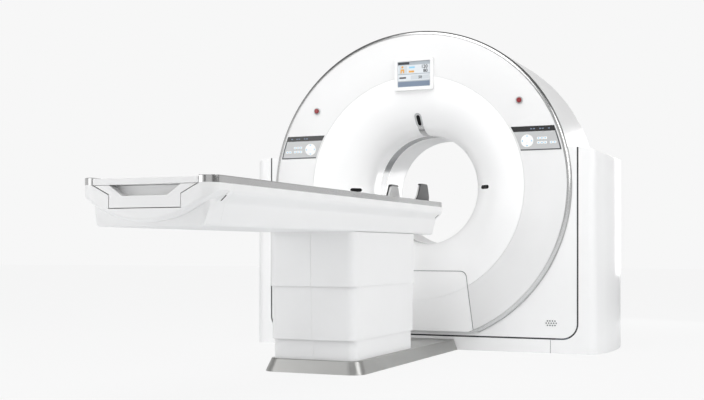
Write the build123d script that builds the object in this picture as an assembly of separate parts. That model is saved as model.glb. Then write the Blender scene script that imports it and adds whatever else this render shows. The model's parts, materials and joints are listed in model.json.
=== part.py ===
"""A ring-shaped X-ray scanner with its lifting patient table, as separate pieces.

Millimetres. +X to the right seen from the table, +Y from the table into the bore, +Z up.
The origin is on the floor, straight below the middle of the scan plane.
"""
from build123d import *
import math
import os

os.makedirs("parts", exist_ok=True)

# Gantry: overall sizes
iso_height = 1000.0        # height of the scan axis above the floor
bore_radius = 350.0        # the opening that the patient passes through
disc_radius = iso_height - 22.0     # outside of the metal trim and of the drum: clears the floor
disc_flat_z = 113.0        # the disc ends in a flat chord above the plinth
disc_front_y = -360.0      # front face of the flat ring
plate_front_y = -338.0     # front face of the lower plate, plinth and pods
back_y = 452.0             # rear face
wall = 5.0                 # moulded cover walls
fit_gap = 0.8              # joint line between two covers that meet
seat_gap = 0.3             # clearance of a piece from the seat that carries it

# Gantry: ring, funnel and trim
ring_width = 257.0         # of the flat ring
trim_width = 24.0
trim_inner_radius = disc_radius - trim_width    # the flat ring ends and the metal trim starts
seam_radius = trim_inner_radius - ring_width    # joint line between ring and funnel
trim_lip = 12.0            # how far the trim runs back over the drum
trim_bulge = 4.0
throat_y = -136.0          # the funnel has narrowed to the bore here
window_half = 50.0         # half the width of the dark scan window
flare_radius = 470.0       # mouth of the bore at the rear
flare_depth = 112.0
rear_edge_radius = 58.0    # rounding of the drum's rear edge

# Gantry: lower body
body_half = disc_radius + 29.0      # half the width of the lower plate
disc_clearance = 1.5       # round the disc, where it passes through the lower plate
pod_gap = 10.0             # dark line between the lower plate and each pod
plate_bottom_z = 90.0
plate_corner = 88.0
shoulder_z = iso_height + 222.0     # top of the lower plate and of the pods' inner edge
shoulder_width = 67.0      # strip that runs back from the plate beside the drum
plinth_top_z = 80.0
speaker_place = (body_half - 152.0, 178.0)
speaker_pitch = 15.0
speaker_hole = 4.6         # radius of one sound hole
plinth_half = body_half - 158.0
plinth_return = 40.0       # depth of the plinth's turned-back top
pod_floor_x = body_half + 164.0     # outermost point of a pod at the floor
pod_top_x = body_half + 160.0       # the same at the top
pod_bulge = 45.0           # how far the side bows out over its length
pod_corner = 72.0
pod_outer_z = shoulder_z - 48.0     # the pod's top slopes down to this height
recess_low = (276.0, iso_height - 43.0)     # hand recess in the pod's side, (y, z) of its corners
recess_high = (436.0, iso_height + 145.0)
recess_radii = (46.0, 14.0)         # of its lower and upper corners
recess_depth = 32.0

# Gantry: service panel, display, control panels and switches
service_top = (330.0, iso_height - 519.0)   # half width and height of its upper edge
service_bottom_half = 382.0
service_corner = 42.0
service_gap = 4.0
display_half = 128.0
display_z = (iso_height + 606.0, iso_height + 806.0)
display_proud = 16.0
display_body_inset = 8.0   # the part behind the frame is narrower by this
display_body_depth = 44.0
display_corner = 12.0
screen_half = 107.0
screen_z = (display_z[0] + 23.0, display_z[1] - 19.0)
panel_radii = (seam_radius + 11.0, trim_inner_radius - 8.0)
panel_z = (iso_height + 207.0, iso_height + 352.0)
panel_proud = 1.5
panel_thick = 6.0
pad_centre = (seam_radius + 18.5, iso_height + 264.0)
pad_radius = 38.0
pad_centre_radius = 11.0
key_size = (19.0, 15.0)
key_columns = tuple(seam_radius + x for x in (88.0, 108.5, 129.0))
key_rows = (iso_height + 278.0, iso_height + 251.0)
far_key_columns = tuple(seam_radius + x for x in (165.0, 185.5))
key_corner = 3.5
key_proud = 1.5
key_depth = 6.5
stop_ring_radius = trim_inner_radius - 113.5    # the stop switches sit on this radius
stop_angle = 37.36         # and at this angle above the level
stop_radius = 15.0
stop_collar = (15.4, 22.0)
stop_proud = 16.0
laser_radius = 430.0       # the positioning windows sit on this radius
laser_size = (62.0, 24.0)  # along the radius and across it
laser_trim_half = 19.0

# Gantry: rotating and carrying parts
bearing_radii = (500.0, 556.0)
bearing_y = (196.0, 262.0)
frame_ring_outer = disc_radius - 46.0
frame_ring_y = (200.0, 258.0)
rotor_plate_y = (120.0, 150.0)
rotor_inner = 400.0
rotor_outer = disc_radius - 106.0
rotor_rim = (26.0, 70.0)   # thickness and depth of the rim
hub_wall = 50.0
lightening_hole = (680.0, 82.0)     # radius of their circle, and of each
running_gap = 0.3
focus_radius = rotor_outer - 262.0  # X-ray source, measured from the scan axis
detector_inner = focus_radius + 450.0   # measured from the source
detector_depth = 72.0
detector_half_angle = 26.0
tube_radius = 128.0
tube_centre_z = iso_height + focus_radius + 75.0
tube_front_y = -105.0
tube_foot = (70.0, 110.0, 12.0)     # half width, half height and thickness of its foot plate
shaper_half = (88.0, 58.0)          # of the beam-shaping box, across and along the axis
shaper_low = 500.0
unit_radii = (560.0, disc_radius - 188.0)
unit_half_z = 130.0
unit_front_y = (-70.0, -60.0)       # of the generator and of the heat exchanger
hoop_radii = (disc_radius - 76.0, disc_radius - 48.0)
hoop_depth = 20.0
stay_angles = (-50, -10, 30, 70, 110, 150, 190, 230)
stay_radius = 12.0
beam_depth = 90.0          # of the two floor beams
upright_half = 60.0
outrigger_z = (300.0, 380.0)
bracket = (127.0, 47.0, 34.0, 190.0)    # inside the plate's edge from, to; depth; top

# Table: bed
bed_y = (-3308.0, -713.0)
bed_half = 300.0
rail_z = (862.0, 890.0)
rail_inner = 238.0
facet_top_z = 826.0        # the side stands upright down to here,
facet_bottom = (261.0, 791.0)   # slants in to here
bed_bottom = (239.0, 702.0)     # and runs down to the underside
shell_wall = 4.0
foot_length = 150.0        # depth of the foot cover
foot_corner = 60.0
foot_setback = 34.0        # how far the lower box stands back under the foot cover
smile_low_z = 717.0        # lowest point of the lip's curved edge
cap_depth = 68.0
cap_gap = 3.0
cradle_half = 235.0
cradle_edge_z = (862.0, 885.0)
cradle_sag = 17.0          # how far the couch top dips in the middle
cradle_belly = 36.0        # how far the underside hangs below its edges
cradle_corner = 70.0       # radius of its two head corners in plan
cradle_head_y = -700.0
cap_step = (159.0, 824.0)
cap_bottom_z = 772.0
handle_top = (165.0, 858.0)
handle_bottom = (101.0, 817.0)
handle_depth = 46.0
ledge_x = (166.0, 205.0)
ledge_z = 830.0
frame_gap = 0.5            # between the bed's beam and its cover
beam_hollows = ((214.0, 280.0, 824.0, 840.0), (176.0, 212.0, 722.0, 762.0),
                (6.0, 150.0, 714.0, 761.0))   # x and z ranges, each on both sides

# Table: column and base
column_y = -1422.0
column_x = (230.0, 233.5, 237.0)       # half widths of lower, middle and upper cover
column_half_y = (408.0, 426.0, 437.0)  # half lengths of the same
cover_wall = 3.0
cover_corner = 42.0
lower_cover_z = (65.0, 225.0)
middle_cover_z = (165.0, 483.0)
upper_cover_z = (431.0, 702.0)
stage_half = (110.0, 130.0)            # outside of the fixed lift stage
stage_wall = 10.0
stage_gap = 0.5
stage_z = ((58.0, 355.0), (235.0, 525.0), (405.0, 706.5))
base_y = (-1872.0, -343.0)
base_half = 275.0
base_top_z = 65.0
base_bevel = 24.0
base_wall = 4.0
base_corner = 75.0
base_frame_half = 215.0
base_frame_inset = 60.0    # it starts this far inside the skirt's foot end
tray = (150.0, 14.0)       # half width and floor height of the wiring tray
anchor_radius = 9.0
gantry_anchor = (760.0, 280.0)
table_anchor = (170.0, 300.0)

# Table: head rest
head_y = (-598.0, -368.0)
head_half = 105.0
head_centre_z = 951.0
head_top_z = 1015.0
head_wall = 7.0
head_pad_thick = 12.0
ear_half = 58.0            # half the length of an ear at its top
ear_base_z = 905.0
tongue = (45.0, 838.3, 852.3)   # half width, underside and top of the mounting tongue
tongue_reach = 119.7            # how far it slides into the couch top


def block(x0, x1, y0, y1, z0, z1):
    """A box between two corners."""
    middle = Pos((x0 + x1) / 2, (y0 + y1) / 2, (z0 + z1) / 2)
    return middle * Box(abs(x1 - x0), abs(y1 - y0), abs(z1 - z0))


def polygon(*points):
    """A flat face through the points."""
    return make_face(Polyline(*points, close=True))


def outline(*edges):
    """A flat face inside a closed chain of edges."""
    return Face(Wire(list(edges)))


def seen_from_front(face, y0, y1):
    """Extrude a face drawn as (x, z) from y0 to y1."""
    return extrude(Plane.XZ.offset(-y0) * face, amount=y1 - y0, dir=(0, 1, 0))


def seen_from_side(face, x0, x1):
    """Extrude a face drawn as (y, z) from x0 to x1."""
    return extrude(Plane.YZ.offset(x0) * face, amount=x1 - x0, dir=(1, 0, 0))


def seen_from_above(face, z0, z1):
    """Extrude a face drawn as (x, y) from z0 to z1."""
    return extrude(Plane.XY.offset(z0) * face, amount=z1 - z0, dir=(0, 0, 1))


def turned(face, centre_z=iso_height):
    """Revolve a face drawn as (radius, y) about an axis along the bore."""
    return revolve(Pos(0, 0, centre_z) * face, axis=Axis((0, 0, centre_z), (0, 1, 0)))


def ring(r_in, r_out, y0, y1, centre_z=iso_height):
    """A plain ring about an axis along the bore."""
    return turned(polygon((r_in, y0), (r_out, y0), (r_out, y1), (r_in, y1)), centre_z)


def bar(radius, x, z, y0, y1):
    """A round bar along the bore's direction."""
    return seen_from_front(Pos(x, z) * Circle(radius), y0, y1)


def both_sides(solid):
    """A solid and its mirror image on the other side of the object."""
    return solid + mirror(solid, about=Plane.YZ)


def mirrored(points):
    """Close an outline that is given for its right half only, from top to bottom."""
    return polygon(*points, *[(-x, z) for x, z in reversed(points)])


def save(solid, name):
    """Write one piece under its own name."""
    solid.label = name
    export_step(solid, f"parts/{name}.step")


far = 1.4 * disc_radius     # beyond anything on the gantry
everything_below_flat = block(-far, far, -far, far, -far, disc_flat_z)
funnel_half_width = seam_radius - bore_radius
funnel_depth = throat_y - disc_front_y


def funnel_arc(inset):
    """The bell-shaped line of the funnel, moved behind its visible face by inset."""
    return EllipticalCenterArc((seam_radius, throat_y), funnel_half_width - inset,
                               funnel_depth - inset, start_angle=180, arc_size=90)


def funnel_band(front_inset, back_inset, tunnel_end_y):
    """Funnel and front bore tunnel between two depths behind the visible face."""
    front = funnel_arc(front_inset)
    back = funnel_arc(back_inset)
    r_front = bore_radius + front_inset
    r_back = bore_radius + back_inset
    return turned(outline(
        front,
        Line((seam_radius, disc_front_y + front_inset), (seam_radius, disc_front_y + back_inset)),
        back,
        Line((r_back, throat_y), (r_back, tunnel_end_y)),
        Line((r_back, tunnel_end_y), (r_front, tunnel_end_y)),
        Line((r_front, tunnel_end_y), (r_front, throat_y))))


def service_outline(grow):
    """Outline of the service panel, seen from the front, widened by grow."""
    half, top = service_top
    face = polygon((-half - grow, top + grow), (half + grow, top + grow),
                   (service_bottom_half + grow, disc_flat_z - 20),
                   (-service_bottom_half - grow, disc_flat_z - 20))
    corners = [v for v in face.vertices() if v.Y > top - 1]
    return face.face().fillet_2d(service_corner, corners)


def laser_slot(angle, grow, y0, y1):
    """A rounded slot along the radius at one clock angle, seen from the front."""
    length, width = laser_size
    slot = SlotOverall(length + 2 * grow, width + 2 * grow)
    x = laser_radius * math.cos(math.radians(angle))
    z = iso_height + laser_radius * math.sin(math.radians(angle))
    return seen_from_front(Pos(x, z) * Rot(0, 0, angle) * slot, y0, y1)


def panel_sector(grow, y0, y1):
    """The right-hand control panel's outline as a solid: a ring cut off level above and below."""
    r_in, r_out = panel_radii
    low, high = panel_z
    return ring(r_in - grow, r_out + grow, y0, y1) & block(0, far, y0, y1, low - grow, high + grow)


laser_angles = (90, 0, 180)
key_places = [(x, z) for z in key_rows for x in key_columns]
key_places += [(x, key_rows[1]) for x in far_key_columns]


def stop_centre(side):
    """Centre of the stop switch on one side, as (x, z)."""
    angle = math.radians(stop_angle)
    return side * stop_ring_radius * math.cos(angle), iso_height + stop_ring_radius * math.sin(angle)


def key_outline(x, z, grow):
    """One small key, seen from the front."""
    width, height = key_size
    return Pos(x, z) * RectangleRounded(width + 2 * grow, height + 2 * grow, key_corner)


def make_front_ring_cover():
    """Flat ring with turned-back edges, opened for panels, display and switches."""
    outer = trim_inner_radius - fit_gap
    inner = seam_radius + fit_gap
    y, back = disc_front_y, disc_front_y + wall
    flange = back + 15
    cover = turned(polygon((inner, y), (outer, y), (outer, flange), (outer - wall, flange),
                           (outer - wall, back), (inner + wall, back), (inner + wall, flange),
                           (inner, flange)))
    cover -= everything_below_flat
    cover -= seen_from_front(service_outline(service_gap), y - 5, flange + 5)
    cover -= both_sides(panel_sector(fit_gap / 2, y - 5, flange + 1))
    cover -= display_body(fit_gap / 2, y - 60, flange + 5)
    for side in (-1, 1):
        cover += bar(stop_collar[1], *stop_centre(side), y - 5, y + 1)
        cover -= bar(stop_collar[0], *stop_centre(side), y - 10, flange)
    return cover


def display_body(grow, y0, y1):
    """The part of the display housing that passes through the covers."""
    half = display_half - display_body_inset + grow
    return block(-half, half, y0, y1, display_z[0] + display_body_inset - grow,
                 display_z[1] - display_body_inset + grow)


def make_funnel_cover():
    """Bell-shaped funnel that runs on as the front half of the bore tunnel."""
    cover = funnel_band(0, wall, -window_half - fit_gap)
    cover -= seen_from_front(service_outline(service_gap), disc_front_y - 5, 0)
    cover -= display_body(fit_gap / 2, disc_front_y - 60, disc_front_y + 60)
    for angle in laser_angles:
        cover -= laser_slot(angle, fit_gap / 2, disc_front_y, throat_y)
    return cover


def make_service_panel():
    """Panel cut out of ring and funnel in one piece, so that the seam runs on over it."""
    skin = funnel_band(0, wall, throat_y + 10) + ring(seam_radius - 0.01, trim_inner_radius - fit_gap,
                                                      disc_front_y, disc_front_y + wall)
    panel = skin & seen_from_front(service_outline(0), disc_front_y - 5, -100)
    return panel - everything_below_flat


def make_rim_trim():
    """Slanting, gently rounded metal band around the ring."""
    back = plate_front_y
    bulge = (trim_inner_radius + disc_radius) / 2 + trim_bulge, (disc_front_y + back) / 2 - trim_bulge
    trim = turned(outline(
        ThreePointArc((trim_inner_radius, disc_front_y), bulge, (disc_radius, back)),
        Line((disc_radius, back), (disc_radius, back + trim_lip)),
        Line((disc_radius, back + trim_lip), (disc_radius - wall, back + trim_lip)),
        Line((disc_radius - wall, back + trim_lip), (disc_radius - wall, back + 3)),
        Line((disc_radius - wall, back + 3), (trim_inner_radius, disc_front_y + wall)),
        Line((trim_inner_radius, disc_front_y + wall), (trim_inner_radius, disc_front_y))))
    return trim - everything_below_flat


def make_drum_cover():
    """Arched cover over the top, standing on the shoulders of the lower plate."""
    arch = ring(disc_radius - wall, disc_radius, plate_front_y + trim_lip + fit_gap,
                back_y - rear_edge_radius - fit_gap)
    return arch - block(-far, far, -far, far, -far, shoulder_z + seat_gap)


def lower_outline():
    """The lower plate's outline with its rounded bottom corners."""
    face = polygon((-body_half, plate_bottom_z), (body_half, plate_bottom_z),
                   (body_half, shoulder_z), (-body_half, shoulder_z)).face()
    return face.fillet_2d(plate_corner, [v for v in face.vertices() if v.Y < shoulder_z - 1])


def speaker_holes():
    """Three staggered rows of sound holes at the plate's lower right."""
    x, z = speaker_place
    holes = []
    for row, count in ((-1, 4), (0, 5), (1, 4)):
        for n in range(count):
            along = (n - (count - 1) / 2) * speaker_pitch
            up = row * speaker_pitch * math.sin(math.radians(60))
            holes.append(bar(speaker_hole, x + along, z + up, plate_front_y - 2,
                             plate_front_y + wall + 2))
    return holes


def make_front_plate():
    """Lower front plate around the disc, with shoulders that run back beside the drum."""
    back = plate_front_y + wall
    plate = seen_from_front(lower_outline(), plate_front_y, back)
    hole_radius = disc_radius + disc_clearance
    hole = ring(0, hole_radius, plate_front_y - 5, back + 5)
    plate -= hole - block(-far, far, -far, 0, -far, disc_flat_z - disc_clearance)
    shoulder = block(body_half - shoulder_width, body_half, plate_front_y, back_y - wall - fit_gap,
                     shoulder_z - wall, shoulder_z)
    shoulder -= ring(0, hole_radius, plate_front_y - 5, plate_front_y + trim_lip + 2)
    for hole in speaker_holes():
        plate -= hole
    return plate + both_sides(shoulder)


def make_plinth_covers():
    """Low strips under the front and the rear plate, turned back along the top."""
    strip = block(-plinth_half, plinth_half, plate_front_y, plate_front_y + wall, 0, plinth_top_z)
    strip += block(-plinth_half, plinth_half, plate_front_y, plate_front_y + plinth_return,
                   plinth_top_z - wall, plinth_top_z)
    middle = (plate_front_y + back_y) / 2
    return strip + mirror(strip, about=Plane.XZ.offset(-middle))


def pod_plan(outer, inset):
    """A pod's plan: straight inner side, bowed outer side, rounded outer corners."""
    inner = body_half + pod_gap + inset
    front, rear = plate_front_y + inset, back_y - inset
    widest = outer - inset
    ends = widest - pod_bulge
    face = outline(Line((inner, rear), (inner, front)), Line((inner, front), (ends, front)),
                   ThreePointArc((ends, front), (widest, (front + rear) / 2), (ends, rear)),
                   Line((ends, rear), (inner, rear)))
    corners = [v for v in face.vertices() if v.X > inner + 5]
    radius = min(pod_corner, 0.8 * (ends + inset - body_half - pod_gap))
    return face.fillet_2d(radius - inset, corners)


def pod_volume(inset):
    """The pod's outside, or the hollow inside it at the given distance."""
    bottom = Pos(0, 0, -1 if inset else 0) * pod_plan(pod_floor_x, inset)
    top = Pos(0, 0, shoulder_z) * pod_plan(pod_top_x, inset)
    volume = loft([bottom, top])
    middle = (body_half + pod_top_x) / 2, (shoulder_z + pod_outer_z) / 2 + 8 - inset
    crown = outline(
        ThreePointArc((body_half, shoulder_z - inset), middle, (pod_floor_x + 40, pod_outer_z - 22 - inset)),
        Line((pod_floor_x + 40, pod_outer_z - 22 - inset), (pod_floor_x + 40, shoulder_z + 50)),
        Line((pod_floor_x + 40, shoulder_z + 50), (body_half, shoulder_z + 50)),
        Line((body_half, shoulder_z + 50), (body_half, shoulder_z - inset)))
    return volume - seen_from_front(crown, plate_front_y - 50, back_y + 50)


def pod_recess(grow):
    """Hand recess in the pod's outer side, rounded at its lower edge."""
    (y0, z0), (y1, z1) = recess_low, recess_high
    face = polygon((y0 - grow, z0 - grow), (y1 + grow, z0 - grow), (y1 + grow, z1 + grow),
                   (y0 - grow, z1 + grow)).face()
    low, high = recess_radii
    face = face.fillet_2d(low, [v for v in face.vertices() if v.Y < z0 + 1])
    face = face.fillet_2d(high, [v for v in face.vertices() if v.Y > z1 - 1])
    floor = (pod_floor_x + pod_top_x) / 2 - pod_bulge / 2 - recess_depth
    return seen_from_side(face, floor - 12 - grow, pod_floor_x + 60)


def make_side_pod():
    """Right-hand side pod: a hollow moulding with a foot that reaches in below the plate."""
    pod = (pod_volume(0) - pod_recess(0)) - (pod_volume(wall) - pod_recess(wall))
    foot_inner = plinth_half + 3
    inner = body_half + pod_gap
    foot = block(foot_inner, inner + 8, plate_front_y, plate_front_y + wall, 0, plate_bottom_z + plate_corner)
    foot -= seen_from_front(offset(lower_outline(), amount=pod_gap), plate_front_y - 5, plate_front_y + 50)
    rear = mirror(foot, about=Plane.XZ.offset(-(plate_front_y + back_y) / 2))
    return pod + foot + rear


def make_rear_cover():
    """Rear face in one moulding: bore tunnel, flared mouth, flat face and rounded edge."""
    y = back_y
    mouth = y - flare_depth
    edge = rear_edge_radius
    across = flare_radius - bore_radius
    edge_centre = (disc_radius - edge, y - edge)
    outer_arc = CenterArc(edge_centre, edge, 0, 90)
    inner_arc = CenterArc(edge_centre, edge - wall, 0, 90)
    disc = turned(outline(
        Line((bore_radius, window_half + fit_gap), (bore_radius, mouth)),
        EllipticalCenterArc((flare_radius, mouth), across, flare_depth, 90, arc_size=90),
        Line((flare_radius, y), (edge_centre[0], y)),
        outer_arc,
        Line((disc_radius, y - edge), (disc_radius - wall, y - edge)),
        inner_arc,
        Line((edge_centre[0], y - wall), (flare_radius, y - wall)),
        EllipticalCenterArc((flare_radius, mouth), across - wall, flare_depth - wall, 90, arc_size=90),
        Line((bore_radius + wall, mouth), (bore_radius + wall, window_half + fit_gap)),
        Line((bore_radius + wall, window_half + fit_gap), (bore_radius, window_half + fit_gap))))
    rounding = ring(disc_radius - edge - 0.5, disc_radius + 1, y - edge - 1, y + 1)
    disc -= rounding & block(-far, far, 0, far, -far, shoulder_z)
    plate = seen_from_front(lower_outline(), y - wall, y)
    plate -= ring(0, disc_radius - edge - 2, y - 10, y + 10)
    return disc + plate


def make_display_housing():
    """Display frame on the ring, its body passing through both covers."""
    y = disc_front_y
    frame = seen_from_front(
        Pos(0, sum(display_z) / 2) * RectangleRounded(2 * display_half, display_z[1] - display_z[0],
                                                      display_corner),
        y - display_proud, y)
    front_edges = frame.edges().filter_by_position(Axis.Y, y - display_proud - 0.1, y - display_proud + 0.1)
    frame = chamfer(front_edges, 6)
    body = display_body(0, y - 1, y + display_body_depth)
    pocket = block(-screen_half, screen_half, y - display_proud - 1, y - display_proud + 9, *screen_z)
    return frame + body - pocket


def make_display_screen():
    """Glass of the display, sunk in its frame."""
    y = disc_front_y - display_proud
    return block(-screen_half + seat_gap, screen_half - seat_gap, y + 2, y + 9,
                 screen_z[0] + seat_gap, screen_z[1] - seat_gap)


def make_control_panel():
    """Right-hand panel: a plate with a hole for every key, following the ring's curve."""
    y = disc_front_y - panel_proud
    plate = panel_sector(0, y, y + panel_thick)
    plate -= bar(pad_radius + seat_gap, *pad_centre, y - 1, y + 20)
    for x, z in key_places:
        plate -= seen_from_front(key_outline(x, z, seat_gap), y - 1, y + 20)
    return plate


def make_direction_pad():
    """Round rocking pad with a hole for its centre key."""
    y = disc_front_y - panel_proud - key_proud
    pad = bar(pad_radius, *pad_centre, y, y + key_depth)
    pad = chamfer(pad.edges().filter_by_position(Axis.Y, y - 0.1, y + 0.1), 1)
    return pad - bar(pad_centre_radius + seat_gap, *pad_centre, y - 1, y + 20)


def make_pad_centre_key():
    """Key in the middle of the pad."""
    y = disc_front_y - panel_proud - key_proud
    key = bar(pad_centre_radius, *pad_centre, y, y + key_depth)
    return chamfer(key.edges().filter_by_position(Axis.Y, y - 0.1, y + 0.1), 1)


def make_key(x, z):
    """One small key with a softened front edge."""
    y = disc_front_y - panel_proud - key_proud
    key = seen_from_front(key_outline(x, z, 0), y, y + key_depth)
    return chamfer(key.edges().filter_by_position(Axis.Y, y - 0.1, y + 0.1), 0.8)


def make_stop_button(side):
    """Mushroom-headed stop switch, sliding in its collar."""
    y = disc_front_y - stop_proud
    head = bar(stop_radius, *stop_centre(side), y, y + stop_proud + 4)
    return fillet(head.edges().filter_by_position(Axis.Y, y - 0.1, y + 0.1), 5)


def make_positioning_windows():
    """Three dark windows for the positioning light, flush in the funnel."""
    skin = funnel_band(0, wall, throat_y + 10)
    windows = [skin & laser_slot(angle, 0, disc_front_y, throat_y) for angle in laser_angles]
    return windows[0] + windows[1] + windows[2]


def make_laser_trim():
    """Slim strip laid on the funnel from the upper window down to the scan window."""
    skin = funnel_band(-2.5, -seat_gap, -window_half - 2)
    top = iso_height + laser_radius
    face = Pos(0, (top + iso_height + 300) / 2) * Rectangle(2 * laser_trim_half, top - iso_height - 300)
    head = Pos(0, top) * Rot(0, 0, 90) * SlotOverall(laser_size[0] + 22, laser_size[1] + 22)
    strip = skin & seen_from_front(face + head, disc_front_y, -window_half)
    return strip - laser_slot(90, 1.0, disc_front_y - 10, throat_y)


def make_gantry_frame():
    """Welded frame: floor beams, uprights, bearing ring, front hoop with its stays, outriggers."""
    y0, y1 = frame_ring_y
    front_seat = plate_front_y + wall + seat_gap
    rear_seat = back_y - wall - seat_gap
    anchor_x, anchor_y = gantry_anchor
    beam_top = plinth_top_z - wall - seat_gap
    frame = ring(bearing_radii[1] + seat_gap, frame_ring_outer, y0, y1)
    frame += block(-body_half + 7, body_half - 7, front_seat, front_seat + beam_depth, 0, beam_top)
    frame += block(-body_half + 7, body_half - 7, rear_seat - beam_depth, rear_seat, 0, beam_top)
    side = block(anchor_x - upright_half, anchor_x + upright_half, front_seat, rear_seat, 0, beam_top)
    side += block(anchor_x - upright_half - 20, anchor_x + upright_half, y0, y1, 40, iso_height)
    side += block(anchor_x, body_half + pod_gap - seat_gap, y0, y1, *outrigger_z)
    inner, outer, depth, top = bracket
    side += block(body_half - inner, body_half - outer, front_seat, front_seat + depth, 60, top)
    side += block(body_half - inner, body_half - outer, rear_seat - depth, rear_seat, 60, top)
    frame += both_sides(side)
    hoop_front = disc_front_y + wall + seat_gap
    hoop = ring(*hoop_radii, hoop_front, hoop_front + hoop_depth)
    ledge_z0, ledge_z1 = disc_flat_z + 2, disc_flat_z + 34
    hoop -= block(-far, far, -far, 0, -far, ledge_z0)
    ledge_half = service_top[0]
    ledge = block(-ledge_half, ledge_half, hoop_front, hoop_front + hoop_depth, ledge_z0, ledge_z1)
    frame += hoop + ledge
    middle_radius = sum(hoop_radii) / 2
    for angle in stay_angles:
        x = middle_radius * math.cos(math.radians(angle))
        z = iso_height + middle_radius * math.sin(math.radians(angle))
        frame += bar(stay_radius, x, z, hoop_front + hoop_depth / 2, y0 + 5)
    frame -= ring(0, bearing_radii[1] + seat_gap, y0 - 1, y1 + 1)
    for sx in (-1, 1):
        for sy in (-1, 1):
            hole = Pos(sx * anchor_x, sy * anchor_y, 35) * Cylinder(anchor_radius, 120)
            frame -= hole
    return frame


def make_main_bearing():
    """Large bearing that carries the rotating drum."""
    r_in, r_out = bearing_radii
    y0, y1 = bearing_y
    bearing = ring(r_in, r_out, y0, y1)
    groove = turned(Pos(r_out - 6, (y0 + y1) / 2) * Rectangle(30, 8))
    return bearing - (groove & ring(r_out - 8, r_out + 20, y0, y1))


def make_rotor_drum():
    """Cast drum: hub in the bearing, plate with lightening holes and a rim."""
    y0, y1 = rotor_plate_y
    hub_outer = bearing_radii[0] - running_gap
    drum = ring(rotor_inner, rotor_outer, y0, y1)
    drum += ring(hub_outer - hub_wall, hub_outer, y1 - 1, bearing_y[1])
    thick, deep = rotor_rim
    drum += ring(rotor_outer - thick, rotor_outer, y0 - deep, y0 + 1)
    circle, hole = lightening_hole
    for n in range(6):
        angle = math.radians(60 * n + 30)
        drum -= bar(hole, circle * math.cos(angle), iso_height + circle * math.sin(angle), y0 - 5, y1 + 5)
    return drum


def make_xray_tube():
    """Tube housing with its beam-shaping box, bolted to the drum at the top."""
    y0 = rotor_plate_y[0]
    z = tube_centre_z
    half_x, half_z, thick = tube_foot
    tube = bar(tube_radius, 0, z, tube_front_y, y0 - thick)
    front = tube.edges().filter_by_position(Axis.Y, tube_front_y - 1, tube_front_y + 1)
    tube = chamfer(front, 18)
    foot = block(-half_x, half_x, y0 - thick - 1, y0, z - half_z, z + half_z)
    across, along = shaper_half
    shaper = block(-across, across, -along, along, iso_height + shaper_low, z - tube_radius + 38)
    return tube + foot + shaper


def make_detector_array():
    """Curved row of detector modules opposite the tube, on its bracket."""
    y0 = rotor_plate_y[0]
    focus_z = iso_height + focus_radius
    r_in, r_out = detector_inner, detector_inner + detector_depth
    reach = 1.25 * r_out
    half_width = reach * math.tan(math.radians(detector_half_angle))
    fan = seen_from_front(polygon((0, focus_z), (-half_width, focus_z - reach),
                                  (half_width, focus_z - reach)), -200, 200)
    array = ring(r_in, r_out, -80, 80, focus_z)
    array += ring(r_in + 18, r_out - 14, 79, y0, focus_z)
    modules = array & fan
    count = 12
    for n in range(1, count):
        angle = math.radians(-detector_half_angle + 2 * detector_half_angle * n / count)
        x, z = r_in * math.sin(angle), focus_z - r_in * math.cos(angle)
        notch = Pos(x, 0, z) * Rot(0, -math.degrees(angle), 0) * Box(3, 140, 24)
        modules -= notch
    return modules


def make_rotor_power_units():
    """High-voltage generator on the drum's left and heat exchanger on its right."""
    y0 = rotor_plate_y[0]
    (r_in, r_out), half_z = unit_radii, unit_half_z
    low, high = iso_height - half_z, iso_height + half_z
    generator = chamfer(block(-r_out, -r_in, unit_front_y[0], y0, low, high).edges().filter_by(Axis.Y), 20)
    for n in range(-2, 3):
        z = iso_height + 44 * n
        generator -= block(-r_out + 30, -r_in - 30, unit_front_y[0] - 1, unit_front_y[0] + 10, z - 8, z + 8)
    exchanger = chamfer(block(r_in, r_out, unit_front_y[1], y0, low, high).edges().filter_by(Axis.Y), 20)
    for z in (iso_height - half_z / 2, iso_height + half_z / 2):
        exchanger -= bar(50, (r_in + r_out) / 2, z, unit_front_y[1] - 1, unit_front_y[1] + 20)
    return generator + exchanger


def bed_outline(inset):
    """Cross-section of the bed below the rail, seen from the foot end."""
    slant = inset * 0.55
    return mirrored([(bed_half - inset, rail_z[0]), (bed_half - inset, facet_top_z + slant),
                     (facet_bottom[0] - inset * 0.9, facet_bottom[1] + slant),
                     (bed_bottom[0] - inset, bed_bottom[1] + inset)])


def channel_outline(gap, top):
    """The free way for the couch top and its end cap, seen from the foot end."""
    x, z = cap_step
    edge = cradle_half + gap
    return mirrored([(edge, top), (edge, cradle_edge_z[0] - gap), (x + gap, z - gap),
                     (x + gap, cap_bottom_z - gap)])


def make_bed_shell():
    """Long cover of the bed: an open trough with a closed head end."""
    y0, y1 = bed_y[0] + foot_length + fit_gap, bed_y[1]
    shell = seen_from_front(bed_outline(0), y0, y1)
    inside = seen_from_front(bed_outline(shell_wall), y0 - 1, y1 - shell_wall)
    top_cut = block(-bed_half + shell_wall, bed_half - shell_wall, y0 - 1, y1 - shell_wall,
                    rail_z[0] - 30, rail_z[0] + 1)
    shell = shell - inside - top_cut
    x0, x1 = ledge_x
    notch = mirrored([(rail_inner + 2, rail_z[0] + 1), (rail_inner + 2, cradle_edge_z[0] - 4),
                      (x1 + 2, ledge_z - 8)])
    shell -= seen_from_front(notch, y1 - 20, y1 + 5)
    half_x = column_x[2] - cover_wall
    half_y = column_half_y[2] - cover_wall
    opening = seen_from_above(Pos(0, column_y) * RectangleRounded(2 * half_x - 20, 2 * half_y, cover_corner),
                              bed_bottom[1] - 5, bed_bottom[1] + 10)
    return shell - opening


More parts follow.
